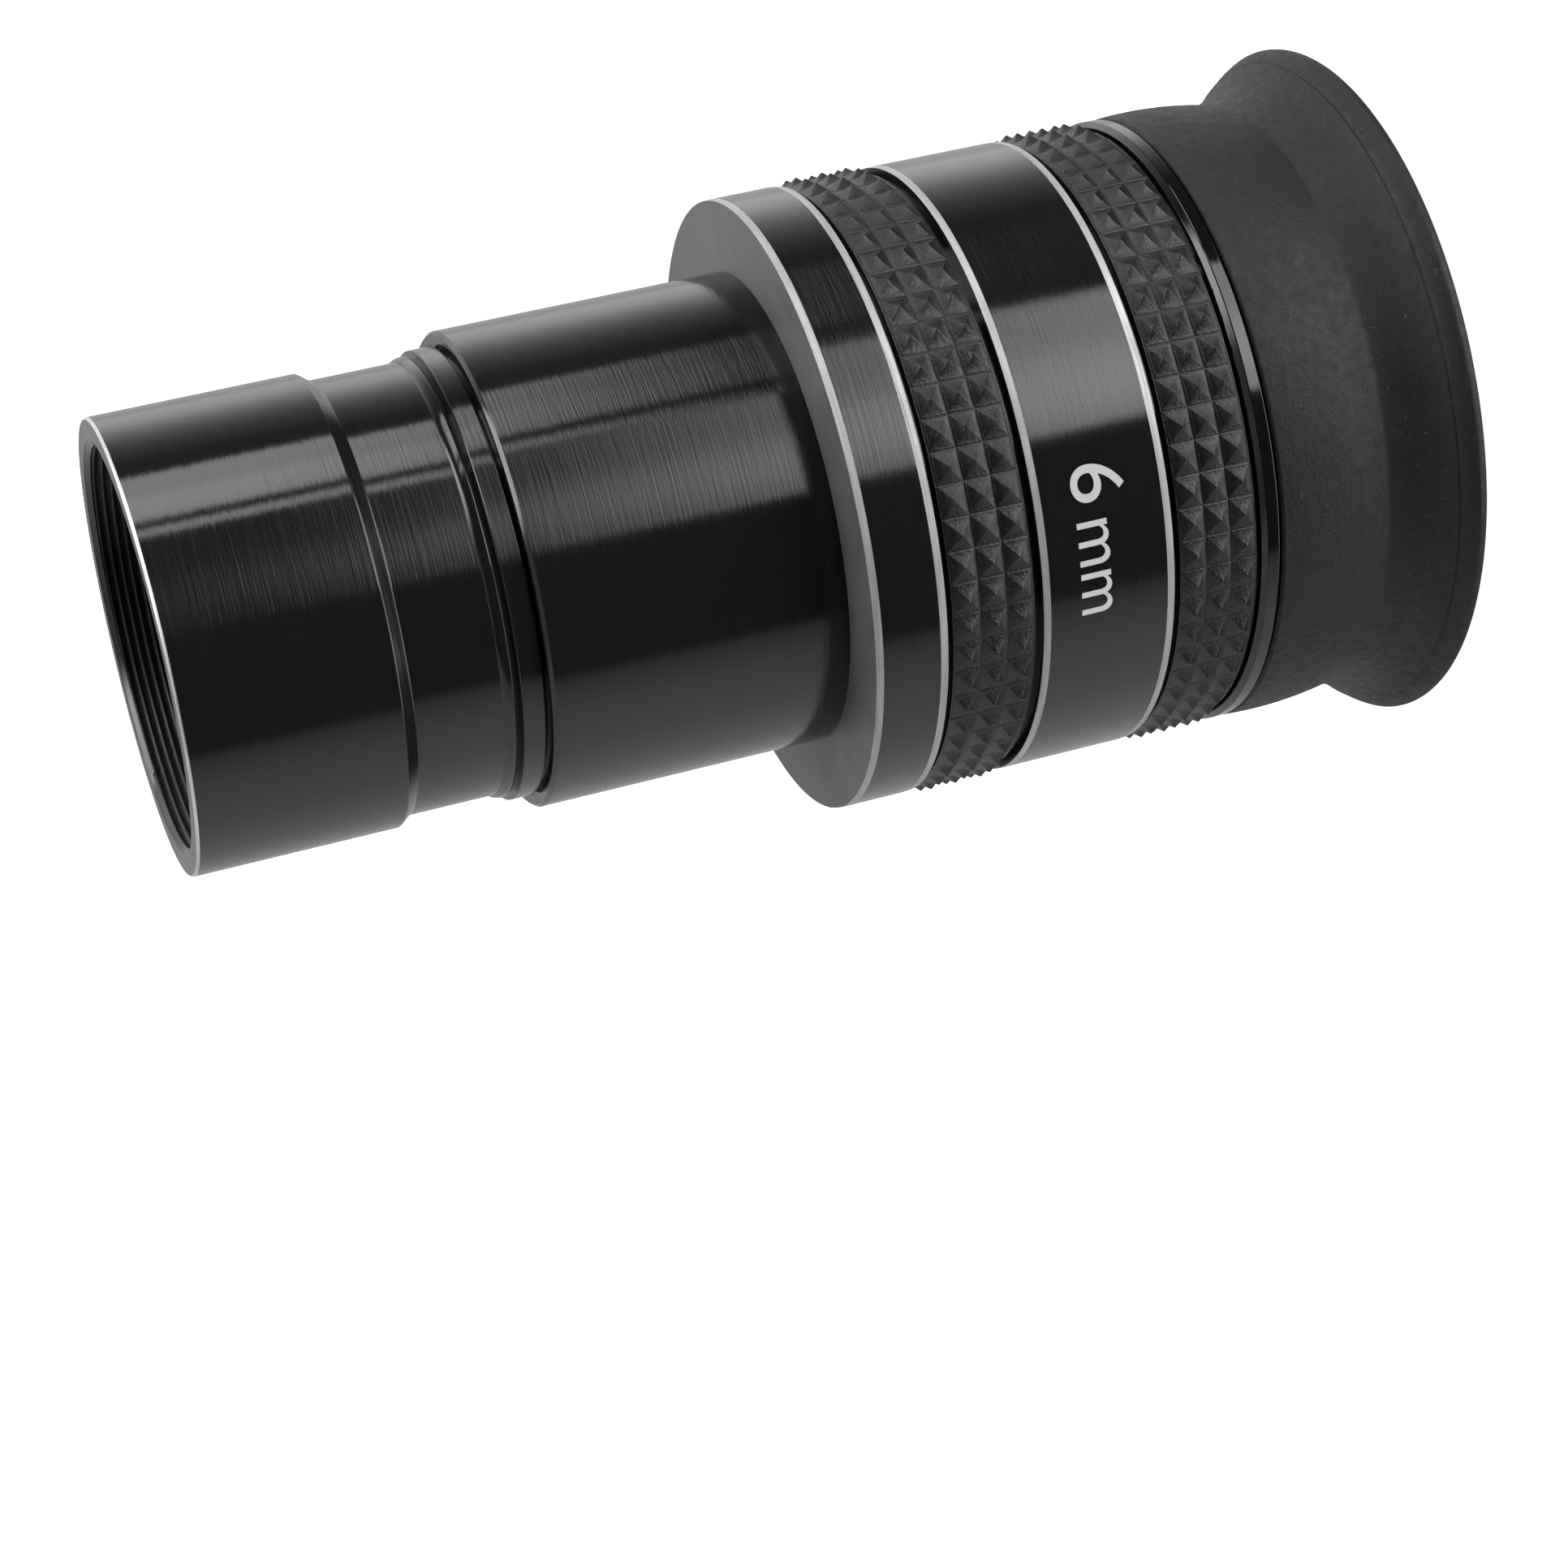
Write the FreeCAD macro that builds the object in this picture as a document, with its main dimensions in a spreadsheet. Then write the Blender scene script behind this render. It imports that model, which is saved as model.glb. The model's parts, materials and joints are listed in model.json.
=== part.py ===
import FreeCAD, Part
import math
import os
import Sketcher

# A 1.25 inch telescope eyepiece with a negative front group and a twist-up rubber eyecup.
# Millimetres. The eyepiece stands on its eyecup, with the nose up: +Z is the optical axis, from
# the eye towards the telescope, and Z = 0 is the plane of the eyecup's rim. Heights below are all
# measured from that plane. Every turned piece is drawn as the half section that a lathe would cut.

SIZES = {
    # Nose barrel, the part that slides into a 1.25 inch focuser
    "barrel_radius": 15.85,
    "barrel_chamfer": 0.2,
    "barrel_rim_radius": 15.80,
    "undercut_radius": 15.20,
    "undercut_arc": 2.2,
    "nose_end": 88.9,
    "undercut_taper_top": 74.5,
    "undercut_top": 73.65,
    "undercut_bottom": 67.7,
    "barrel_rim_top": 66.5,
    "barrel_rim_bottom": 65.0,
    "barrel_bore_radius": 13.60,
    "barrel_spigot_radius": 14.45,
    "barrel_throat_radius": 12.0,
    "barrel_bore_bottom": 66.0,
    "barrel_bottom": 59.5,
    # Filter thread inside the nose
    "thread_crest_radius": 13.93,
    "thread_depth": 0.32,
    "thread_pitch": 0.6,
    "thread_groove_width": 0.46,
    "thread_turns": 11,
    "thread_mouth_radius": 14.35,
    "thread_top": 88.5,
    "thread_bottom": 82.0,
    # Front negative doublet and the cell that holds it
    "front_cell_radius": 13.55,
    "front_cell_top": 79.8,
    "front_cell_bottom": 66.0,
    "front_cell_lip_radius": 13.0,
    "front_cell_lip_bottom": 78.4,
    "front_recess_radius": 12.2,
    "front_recess_floor": 75.6,
    "front_ring_radius": 7.95,
    "front_ring_top": 76.6,
    "front_ring_throat_radius": 4.9,
    "front_ring_mouth_radius": 6.3,
    "front_ring_cone_bottom": 75.5,
    "front_lens_radius": 6.55,
    "front_lens_top": 75.1,
    "front_lens_joint": 72.4,
    "front_lens_bottom": 69.4,
    "front_lens_sag": 0.5,
    "front_throat_radius": 5.2,
    "front_flare_radius": 9.0,
    "front_flare_top": 68.6,
    # Extension tube between the nose barrel and the housing
    "tube_radius": 16.75,
    "shoulder_land_radius": 15.85,
    "shoulder_relief_depth": 0.1,
    "tube_chamfer": 0.3,
    "tube_top": 64.5,
    "tube_bore_radius": 12.6,
    "tube_spigot_radius": 14.0,
    "tube_bottom": 37.9,
    "baffle_aperture_radius": 7.5,
    "baffle_bottom": 50.0,
    "baffle_height": 1.6,
    "baffle_edge": 0.3,
    # Housing
    "housing_radius": 21.76,
    "flange_face": 43.85,
    "bevel_depth": 0.12,
    "flange_bevel_depth": 0.1,
    "flange_bevel_bottom": 43.33,
    "front_band_bottom": 39.28,
    "grip_groove_top": 38.73,
    "grip_groove_bottom": 31.85,
    "label_band_top": 31.35,
    "label_band_bottom": 22.86,
    "housing_shoulder": 22.33,
    "grip_seat_radius": 20.9,
    "neck_radius": 18.0,
    "neck_chamfer": 0.4,
    "neck_bottom": 8.5,
    "cell_bore_radius": 15.2,
    "cell_seat": 35.2,
    "stop_bore_radius": 13.0,
    # Field stop
    "stop_radius": 12.95,
    "stop_bottom": 35.3,
    "stop_height": 2.0,
    "stop_aperture_radius": 7.6,
    "stop_edge": 0.25,
    # Positive group and its cell
    "cell_radius": 15.15,
    "cell_bottom": 12.9,
    "cell_lens_radius": 12.25,
    "cell_shoulder": 33.0,
    "cell_throat_radius": 10.8,
    "lens_radius": 12.2,
    "spacer_inner_radius": 11.4,
    "seat_relief": 0.2,
    "eye_ring_radius": 13.0,
    "eye_ring_thread_radius": 13.05,
    "eye_ring_throat_radius": 11.2,
    "eye_ring_mouth_radius": 11.9,
    "eye_ring_cone_top": 13.6,
    "eye_ring_slot_width": 1.2,
    "eye_ring_slot_depth": 0.8,
    "eye_lens_bottom": 14.9,
    "eye_lens_top": 17.4,
    "eye_lens_low_sag": 0.7,
    "eye_lens_high_sag": 1.5,
    "crown_bottom": 20.6,
    "crown_low_sag": 0.9,
    "crown_joint": 22.4,
    "crown_high_sag": 1.9,
    "flint_top": 26.0,
    "flint_high_sag": 0.4,
    "field_lens_bottom": 30.2,
    "field_lens_sag": 1.0,
    # Grub screws that lock the cell, under the lower grip
    "grub_radius": 1.25,
    "grub_socket_radius": 0.75,
    "grub_socket_depth": 1.2,
    "grub_height": 33.6,
    "grub_inner": 15.25,
    "grub_outer": 20.5,
    # Twist sleeve
    "sleeve_bore_radius": 18.08,
    "sleeve_tail_radius": 20.2,
    "sleeve_bottom": 7.0,
    "sleeve_top": 22.2,
    "trim_radius": 21.85,
    "trim_bottom": 14.6,
    "trim_top": 15.8,
    "trim_chamfer": 0.35,
    "trim_groove_radius": 20.9,
    "damping_groove_radius": 19.4,
    "damping_groove_bottom": 9.2,
    "damping_groove_top": 10.6,
    "damping_ring_radius": 18.72,
    "damping_cord_radius": 0.6,
    # Helical slots in the neck and the pins of the sleeve that run in them
    "slot_floor_radius": 16.9,
    "slot_width": 2.4,
    "slot_lead": 24.0,
    "slot_overrun_angle": 4.0,
    "twist_travel_angle": 120.0,
    "pin_radius": 1.0,
    "pin_height": 19.0,
    "pin_inner": 17.05,
    "pin_outer": 20.6,
    "radial_count": 3,
    # Rubber grips
    "grip_radius": 22.1,
    "grip_border_radius": 21.5,
    "grip_border": 0.3,
    "grip_bore_radius": 20.92,
    "lower_grip_bottom": 32.3,
    "lower_grip_top": 38.28,
    "upper_grip_bottom": 16.05,
    "upper_grip_top": 21.8,
    # Rubber eyecup
    "cup_top": 14.35,
    "cup_top_radius": 21.85,
    "cup_skirt_radius": 20.24,
    "cup_floor_top": 6.95,
    "cup_floor_bottom": 5.4,
    "cup_hole_radius": 14.1,
    "cup_shelf_radius": 17.5,
    "cup_bulge_arc": 20.0,
    "cup_bulge_bottom": 7.3,
    "cup_bulge_bottom_radius": 21.45,
    "cup_waist_arc": 3.0,
    "cup_waist": 5.9,
    "cup_waist_radius": 21.5,
    "cup_flare_arc": 14.0,
    "cup_lip_height": 0.8,
    "cup_lip_radius": 24.3,
    "cup_lip_arc": 0.9,
    "cup_rim_outer_radius": 23.7,
    "cup_rim_inner_radius": 23.1,
    "cup_mouth_radius": 22.5,
}

FULL_TURN = 360.0
DEFINING_STATES = ("Invalid", "Error")


class Size:
    """A number kept together with the sheet expression that gives it."""

    def __init__(self, value, text):
        self.value = value
        self.text = text

    def joined(self, other, sign, value_of):
        other = as_size(other)
        return Size(value_of(self.value, other.value), f"({self.text} {sign} {other.text})")

    def __add__(self, other):
        return self.joined(other, "+", lambda a, b: a + b)

    def __sub__(self, other):
        return self.joined(other, "-", lambda a, b: a - b)

    def __mul__(self, other):
        return self.joined(other, "*", lambda a, b: a * b)

    def __truediv__(self, other):
        return self.joined(other, "/", lambda a, b: a / b)


def as_size(number):
    return number if isinstance(number, Size) else Size(number, repr(number))


class SizeBook:
    """Gives each driving dimension as a Size, by its name."""

    def __getattr__(self, name):
        return Size(SIZES[name], "Sizes." + name)


mm = SizeBook()
AXIS = Size(0.0, "0")
RIM_PLANE = Size(0.0, "0")


def make_sheet(doc):
    sheet = doc.addObject("Spreadsheet::Sheet", "Sizes")
    for row, (name, value) in enumerate(SIZES.items(), start=1):
        sheet.set(f"A{row}", name)
        sheet.set(f"B{row}", str(value))
        sheet.setAlias(f"B{row}", name)
    doc.recompute()
    return sheet


# ---------------------------------------------------------------- sketches

class Corner:
    """A corner of a half section. An arc is the radius of the edge that leads here, if it is round:
    turn is 1 where that edge turns left and -1 where it turns right."""

    def __init__(self, radius, height, arc=None, turn=1):
        self.radius = as_size(radius)
        self.height = as_size(height)
        self.arc = arc
        self.turn = turn


def origin_plane(body, role):
    return next(plane for plane in body.Origin.OriginFeatures if plane.Role == role)


def new_sketch(body, role, name):
    sketch = body.newObject("Sketcher::SketchObject", name)
    sketch.AttachmentSupport = [(origin_plane(body, role), "")]
    sketch.MapMode = "FlatFace"
    return sketch


def bind(sketch, constraint, size):
    index = sketch.addConstraint(constraint)
    sketch.setExpression(f"Constraints[{index}]", size.text)


def pin_point(sketch, edge, end, across, up):
    """Hold one end of an edge at its two bound distances from the sketch's origin."""
    if across.value == 0:
        sketch.addConstraint(Sketcher.Constraint("PointOnObject", edge, end, -2))
    else:
        bind(sketch, Sketcher.Constraint("DistanceX", -1, 1, edge, end, across.value), across)
    if up.value == 0:
        sketch.addConstraint(Sketcher.Constraint("PointOnObject", edge, end, -1))
    else:
        bind(sketch, Sketcher.Constraint("DistanceY", -1, 1, edge, end, up.value), up)


def arc_between(start, finish, radius, turn):
    """The shorter arc from start to finish, and which of its own ends each of them is."""
    chord = finish - start
    middle = (start + finish) * 0.5
    left = FreeCAD.Vector(-chord.y, chord.x, 0).normalize()
    rise = math.sqrt(radius ** 2 - (chord.Length / 2) ** 2)
    centre = middle + left * (rise * turn)
    first, last = (start, finish) if turn > 0 else (finish, start)
    angles = [math.atan2(point.y - centre.y, point.x - centre.x) for point in (first, last)]
    circle = Part.Circle(centre, FreeCAD.Vector(0, 0, 1), radius)
    ends = (1, 2) if turn > 0 else (2, 1)
    return Part.ArcOfCircle(circle, *angles), ends


def draw_outline(sketch, corners):
    """Draw the closed outline through the corners, with every corner and arc bound to the sheet."""
    points = [FreeCAD.Vector(corner.radius.value, corner.height.value, 0) for corner in corners]
    edges = []
    for index, corner in enumerate(corners):
        start, finish = points[index - 1], points[index]
        if corner.arc is None:
            edges.append((sketch.addGeometry(Part.LineSegment(start, finish)), (1, 2)))
        else:
            curve, ends = arc_between(start, finish, corner.arc.value, corner.turn)
            edges.append((sketch.addGeometry(curve), ends))
    for index, corner in enumerate(corners):
        edge, ends = edges[index]
        following, following_ends = edges[(index + 1) % len(edges)]
        joint = Sketcher.Constraint("Coincident", edge, ends[1], following, following_ends[0])
        sketch.addConstraint(joint)
        pin_point(sketch, edge, ends[1], corner.radius, corner.height)
        if corner.arc is not None:
            bind(sketch, Sketcher.Constraint("Radius", edge, corner.arc.value), corner.arc)


# ---------------------------------------------------------------- bodies and features

def turned(doc, label, seat, corners):
    """A body of revolution about Z, drawn in heights above the rim plane and placed at its seat."""
    body = doc.addObject("PartDesign::Body", label)
    body.Label = label
    outline = []
    for corner in corners:
        level = corner.height
        height = AXIS if level.value == seat.value else level - seat
        outline.append(Corner(corner.radius, height, corner.arc, corner.turn))
    sketch = new_sketch(body, "XZ_Plane", label + "_section")
    draw_outline(sketch, outline)
    turning = body.newObject("PartDesign::Revolution", label + "_turning")
    turning.Profile = sketch
    turning.ReferenceAxis = (sketch, ["V_Axis"])
    turning.Angle = FULL_TURN
    if seat.value != 0:
        body.setExpression("Placement.Base.z", seat.text)
    doc.recompute()
    return body


def cut_with(doc, body, feature, before):
    """Recompute and make sure that a cutting feature took something away."""
    body.Tip = feature
    doc.recompute()
    if not feature.Shape.Volume < before:
        raise RuntimeError(f"{feature.Name} cuts nothing")


def spread_round(doc, body, feature, sketch, count):
    """Repeat a cut evenly round the Z axis."""
    before = body.Shape.Volume
    pattern = body.newObject("PartDesign::PolarPattern", feature.Name + "_round")
    pattern.Originals = [feature]
    pattern.Axis = (sketch, ["V_Axis"])
    pattern.Angle = FULL_TURN
    pattern.setExpression("Occurrences", as_size(count).text)
    cut_with(doc, body, pattern, before)


def cut_radial_holes(doc, body, name, seat, height, radius):
    """Holes along a radius, from the axis out through the +X side, spread round the body."""
    before = body.Shape.Volume
    sketch = new_sketch(body, "YZ_Plane", name + "_circle")
    level = height - seat
    centre = FreeCAD.Vector(0, level.value, 0)
    ring = sketch.addGeometry(Part.Circle(centre, FreeCAD.Vector(0, 0, 1), radius.value))
    pin_point(sketch, ring, 3, AXIS, level)
    bind(sketch, Sketcher.Constraint("Radius", ring, radius.value), radius)
    pocket = body.newObject("PartDesign::Pocket", name)
    pocket.Profile = sketch
    pocket.Type = "Length"
    pocket.setExpression("Length", (mm.grip_radius + mm.pin_radius).text)
    pocket.Reversed = True
    cut_with(doc, body, pocket, before)
    spread_round(doc, body, pocket, sketch, mm.radial_count)


def lens(doc, label, low_edge, high_edge, radius, low_sag, high_sag):
    """A lens element between two edge heights. Each sag is how far the middle of that face stands
    out beyond its edge: None is a flat face, and a negative bulge is a hollow one."""
    low, low_bulge = low_sag
    high, high_bulge = high_sag
    low_middle = low_edge if low is None else (low_edge - low if low_bulge > 0 else low_edge + low)
    high_middle = high_edge if high is None else (high_edge + high if high_bulge > 0 else high_edge - high)
    seat = low_middle if low_middle.value < low_edge.value else low_edge
    corners = [
        Corner(AXIS, low_middle),
        Corner(radius, low_edge, sag_radius(radius, low), low_bulge),
        Corner(radius, high_edge),
        Corner(AXIS, high_middle, sag_radius(radius, high), high_bulge),
    ]
    return turned(doc, label, seat, corners)


def sag_radius(radius, sag):
    """The sphere's radius from the lens's half width and the depth of its face."""
    if sag is None:
        return None
    return (radius * radius + sag * sag) / (sag * 2)


def spacer(doc, label, bottom, top):
    """A ring between two elements, with both ends hollowed a little to seat on a domed face."""
    return turned(doc, label, bottom, [
        Corner(mm.lens_radius, bottom),
        Corner(mm.lens_radius, top),
        Corner(mm.spacer_inner_radius, top - mm.seat_relief),
        Corner(mm.spacer_inner_radius, bottom + mm.seat_relief),
    ])


def radial_group(doc, label, make_one):
    """One node of identical separate solids, evenly spread round the axis."""
    pieces = [make_one(index) for index in range(SIZES["radial_count"])]
    group = doc.addObject("Part::Compound", label)
    group.Label = label
    group.Links = pieces
    doc.recompute()
    return group


def radial_cylinder(doc, name, index, radius, inner, outer, height):
    """A cylinder that lies along a radius, from one distance off the axis to another."""
    rod = doc.addObject("Part::Cylinder", f"{name}_{index}")
    rod.setExpression("Radius", radius.text)
    rod.setExpression("Height", (outer - inner).text)
    angle = index * FULL_TURN / SIZES["radial_count"]
    round_axis = FreeCAD.Rotation(FreeCAD.Vector(0, 0, 1), angle)
    onto_radius = FreeCAD.Rotation(FreeCAD.Vector(0, 1, 0), 90)
    outwards = round_axis * onto_radius
    start = outwards.multVec(FreeCAD.Vector(0, 0, inner.value)) + FreeCAD.Vector(0, 0, height.value)
    rod.Placement = FreeCAD.Placement(start, outwards)
    return rod


# ---------------------------------------------------------------- nose end

def make_nose_barrel(doc):
    seat = mm.barrel_bottom
    body = turned(doc, "nose_barrel", seat, [
        Corner(mm.barrel_throat_radius, mm.barrel_bottom),
        Corner(mm.barrel_spigot_radius, mm.barrel_bottom),
        Corner(mm.barrel_spigot_radius, mm.tube_top),
        Corner(mm.undercut_radius, mm.tube_top),
        Corner(mm.undercut_radius, mm.barrel_rim_bottom),
        Corner(mm.barrel_rim_radius, mm.barrel_rim_bottom),
        Corner(mm.barrel_rim_radius, mm.barrel_rim_top),
        Corner(mm.undercut_radius, mm.undercut_bottom, mm.undercut_arc, 1),
        Corner(mm.undercut_radius, mm.undercut_top),
        Corner(mm.barrel_radius, mm.undercut_taper_top),
        Corner(mm.barrel_radius, mm.nose_end - mm.barrel_chamfer),
        Corner(mm.barrel_radius - mm.barrel_chamfer, mm.nose_end),
        Corner(mm.thread_mouth_radius, mm.nose_end),
        Corner(mm.thread_crest_radius, mm.thread_top),
        Corner(mm.thread_crest_radius, mm.thread_bottom),
        Corner(mm.barrel_bore_radius, mm.thread_bottom),
        Corner(mm.barrel_bore_radius, mm.barrel_bore_bottom),
        Corner(mm.barrel_throat_radius, mm.barrel_bore_bottom),
    ])
    cut_filter_thread(doc, body, seat)
    return body


def cut_filter_thread(doc, body, seat):
    """The thread as evenly spaced V grooves, which leave narrow flat crests."""
    before = body.Shape.Volume
    sketch = new_sketch(body, "XZ_Plane", "thread_groove_section")
    top = mm.thread_top - seat
    bottom = top - mm.thread_groove_width
    inside = mm.thread_crest_radius - mm.thread_depth
    draw_outline(sketch, [
        Corner(inside, bottom),
        Corner(mm.thread_crest_radius, bottom),
        Corner(mm.thread_crest_radius + mm.thread_depth, top - mm.thread_groove_width / 2),
        Corner(mm.thread_crest_radius, top),
        Corner(inside, top),
    ])
    groove = body.newObject("PartDesign::Groove", "thread_groove")
    groove.Profile = sketch
    groove.ReferenceAxis = (sketch, ["V_Axis"])
    groove.Angle = FULL_TURN
    cut_with(doc, body, groove, before)
    before = body.Shape.Volume
    turns = body.newObject("PartDesign::LinearPattern", "thread_turns_pattern")
    turns.Originals = [groove]
    turns.Direction = (sketch, ["V_Axis"])
    turns.Reversed = True
    turns.setExpression("Length", (mm.thread_pitch * (mm.thread_turns - 1)).text)
    turns.setExpression("Occurrences", mm.thread_turns.text)
    cut_with(doc, body, turns, before)


def make_smyth_cell(doc):
    return turned(doc, "smyth_cell", mm.front_cell_bottom, [
        Corner(mm.front_flare_radius, mm.front_cell_bottom),
        Corner(mm.front_cell_radius, mm.front_cell_bottom),
        Corner(mm.front_cell_radius, mm.front_cell_top),
        Corner(mm.front_cell_lip_radius, mm.front_cell_top),
        Corner(mm.front_cell_lip_radius, mm.front_cell_lip_bottom),
        Corner(mm.front_recess_radius, mm.front_cell_lip_bottom),
        Corner(mm.front_recess_radius, mm.front_recess_floor),
        Corner(mm.front_ring_radius, mm.front_recess_floor),
        Corner(mm.front_ring_radius, mm.front_lens_top),
        Corner(mm.front_lens_radius, mm.front_lens_top),
        Corner(mm.front_lens_radius, mm.front_lens_bottom),
        Corner(mm.front_throat_radius, mm.front_lens_bottom),
        Corner(mm.front_throat_radius, mm.front_flare_top),
    ])


def make_smyth_retaining_ring(doc):
    return turned(doc, "smyth_retaining_ring", mm.front_lens_top, [
        Corner(mm.front_ring_throat_radius, mm.front_lens_top),
        Corner(mm.front_ring_radius, mm.front_lens_top),
        Corner(mm.front_ring_radius, mm.front_ring_top),
        Corner(mm.front_ring_mouth_radius, mm.front_ring_top),
        Corner(mm.front_ring_throat_radius, mm.front_ring_cone_bottom),
    ])


def make_smyth_lenses(doc):
    sag = mm.front_lens_sag
    radius = mm.front_lens_radius
    return [
        lens(doc, "smyth_front_lens", mm.front_lens_joint, mm.front_lens_top, radius,
             (sag, -1), (sag, -1)),
        lens(doc, "smyth_rear_lens", mm.front_lens_bottom, mm.front_lens_joint, radius,
             (sag, -1), (sag, 1)),
    ]


def make_extension_tube(doc):
    return turned(doc, "extension_tube", mm.tube_bottom, [
        Corner(mm.tube_bore_radius, mm.tube_bottom),
        Corner(mm.tube_spigot_radius, mm.tube_bottom),
        Corner(mm.tube_spigot_radius, mm.flange_face),
        Corner(mm.tube_radius, mm.flange_face),
        Corner(mm.tube_radius, mm.tube_top - mm.tube_chamfer),
        Corner(mm.tube_radius - mm.tube_chamfer, mm.tube_top),
        Corner(mm.shoulder_land_radius, mm.tube_top),
        Corner(mm.shoulder_land_radius, mm.tube_top - mm.shoulder_relief_depth),
        Corner(mm.undercut_radius, mm.tube_top - mm.shoulder_relief_depth),
        Corner(mm.undercut_radius, mm.tube_top),
        Corner(mm.barrel_spigot_radius, mm.tube_top),
        Corner(mm.barrel_spigot_radius, mm.barrel_bottom),
        Corner(mm.tube_bore_radius, mm.barrel_bottom),
    ])


def make_glare_baffle(doc):
    bottom = mm.baffle_bottom
    top = bottom + mm.baffle_height
    return turned(doc, "glare_baffle", bottom, [
        Corner(mm.baffle_aperture_radius, bottom),
        Corner(mm.tube_bore_radius, bottom),
        Corner(mm.tube_bore_radius, top),
        Corner(mm.baffle_aperture_radius + mm.baffle_height, top),
        Corner(mm.baffle_aperture_radius, bottom + mm.baffle_edge),
    ])


# ---------------------------------------------------------------- housing

def make_main_housing(doc):
    seat = mm.neck_bottom
    bevel_radius = mm.housing_radius - mm.bevel_depth
    body = turned(doc, "main_housing", seat, [
        Corner(mm.cell_bore_radius, mm.neck_bottom),
        Corner(mm.neck_radius - mm.neck_chamfer, mm.neck_bottom),
        Corner(mm.neck_radius, mm.neck_bottom + mm.neck_chamfer),
        Corner(mm.neck_radius, mm.housing_shoulder),
        Corner(bevel_radius, mm.housing_shoulder),
        Corner(mm.housing_radius, mm.label_band_bottom),
        Corner(mm.housing_radius, mm.label_band_top),
        Corner(bevel_radius, mm.grip_groove_bottom),
        Corner(mm.grip_seat_radius, mm.grip_groove_bottom),
        Corner(mm.grip_seat_radius, mm.grip_groove_top),
        Corner(bevel_radius, mm.grip_groove_top),
        Corner(mm.housing_radius, mm.front_band_bottom),
        Corner(mm.housing_radius, mm.flange_bevel_bottom),
        Corner(mm.housing_radius - mm.flange_bevel_depth, mm.flange_face),
        Corner(mm.tube_spigot_radius, mm.flange_face),
        Corner(mm.tube_spigot_radius, mm.tube_bottom),
        Corner(mm.stop_bore_radius, mm.tube_bottom),
        Corner(mm.stop_bore_radius, mm.cell_seat),
        Corner(mm.cell_bore_radius, mm.cell_seat),
    ])
    cut_radial_holes(doc, body, "grub_hole", seat, mm.grub_height, mm.grub_radius)
    cut_helical_slots(doc, body, seat)
    return body


def cut_helical_slots(doc, body, seat):
    """Right-hand blind slots in the neck, one for each guide pin. The pins stand at the upper ends
    when the eyecup is down, and a little overrun at both ends clears the pin's own radius."""
    before = body.Shape.Volume
    overrun_rise = mm.slot_lead * (mm.slot_overrun_angle / FULL_TURN)
    travel_rise = mm.slot_lead * (mm.twist_travel_angle / FULL_TURN)
    start = mm.pin_height - seat - travel_rise - overrun_rise
    sketch = new_sketch(body, "XZ_Plane", "slot_section")
    turn_back = FreeCAD.Rotation(FreeCAD.Vector(0, 1, 0), -SIZES["slot_overrun_angle"])
    sketch.AttachmentOffset = FreeCAD.Placement(FreeCAD.Vector(), turn_back)
    half_width = mm.slot_width / 2
    draw_outline(sketch, [
        Corner(mm.slot_floor_radius, start - half_width),
        Corner(mm.sleeve_bore_radius, start - half_width),
        Corner(mm.sleeve_bore_radius, start + half_width),
        Corner(mm.slot_floor_radius, start + half_width),
    ])
    slot = body.newObject("PartDesign::SubtractiveHelix", "helical_slot")
    slot.Profile = sketch
    slot.ReferenceAxis = (sketch, ["V_Axis"])
    slot.Mode = 0
    slot.setExpression("Pitch", mm.slot_lead.text)
    slot.setExpression("Height", (travel_rise + overrun_rise * 2).text)
    slot.LeftHanded = False
    cut_with(doc, body, slot, before)
    spread_round(doc, body, slot, sketch, mm.radial_count)


def make_field_stop(doc):
    bottom = mm.stop_bottom
    top = bottom + mm.stop_height
    return turned(doc, "field_stop", bottom, [
        Corner(mm.stop_aperture_radius, bottom),
        Corner(mm.stop_radius, bottom),
        Corner(mm.stop_radius, top),
        Corner(mm.stop_aperture_radius + mm.stop_height, top),
        Corner(mm.stop_aperture_radius, bottom + mm.stop_edge),
    ])


def make_cell_grub_screws(doc):
    def one(index):
        shank = radial_cylinder(doc, "grub_shank", index, mm.grub_radius, mm.grub_inner, mm.grub_outer,
                                mm.grub_height)
        socket_floor = mm.grub_outer - mm.grub_socket_depth
        socket = doc.addObject("Part::Prism", f"grub_socket_{index}")
        socket.Polygon = 6
        socket.setExpression("Circumradius", mm.grub_socket_radius.text)
        socket.setExpression("Height", mm.grub_socket_depth.text)
        lift = shank.Placement.Rotation.multVec(FreeCAD.Vector(0, 0, (socket_floor - mm.grub_inner).value))
        socket.Placement = FreeCAD.Placement(shank.Placement.Base + lift, shank.Placement.Rotation)
        screw = doc.addObject("Part::Cut", f"grub_screw_{index}")
        screw.Base = shank
        screw.Tool = socket
        return screw
    return radial_group(doc, "cell_grub_screws", one)


# ---------------------------------------------------------------- positive group

def make_lens_cell(doc):
    return turned(doc, "lens_cell", mm.cell_bottom, [
        Corner(mm.eye_ring_thread_radius, mm.cell_bottom),
        Corner(mm.cell_radius, mm.cell_bottom),
        Corner(mm.cell_radius, mm.cell_seat),
        Corner(mm.cell_throat_radius, mm.cell_seat),
        Corner(mm.cell_throat_radius, mm.cell_shoulder),
        Corner(mm.cell_lens_radius, mm.cell_shoulder),
        Corner(mm.cell_lens_radius, mm.eye_lens_bottom),
        Corner(mm.eye_ring_thread_radius, mm.eye_lens_bottom),
    ])


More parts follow.
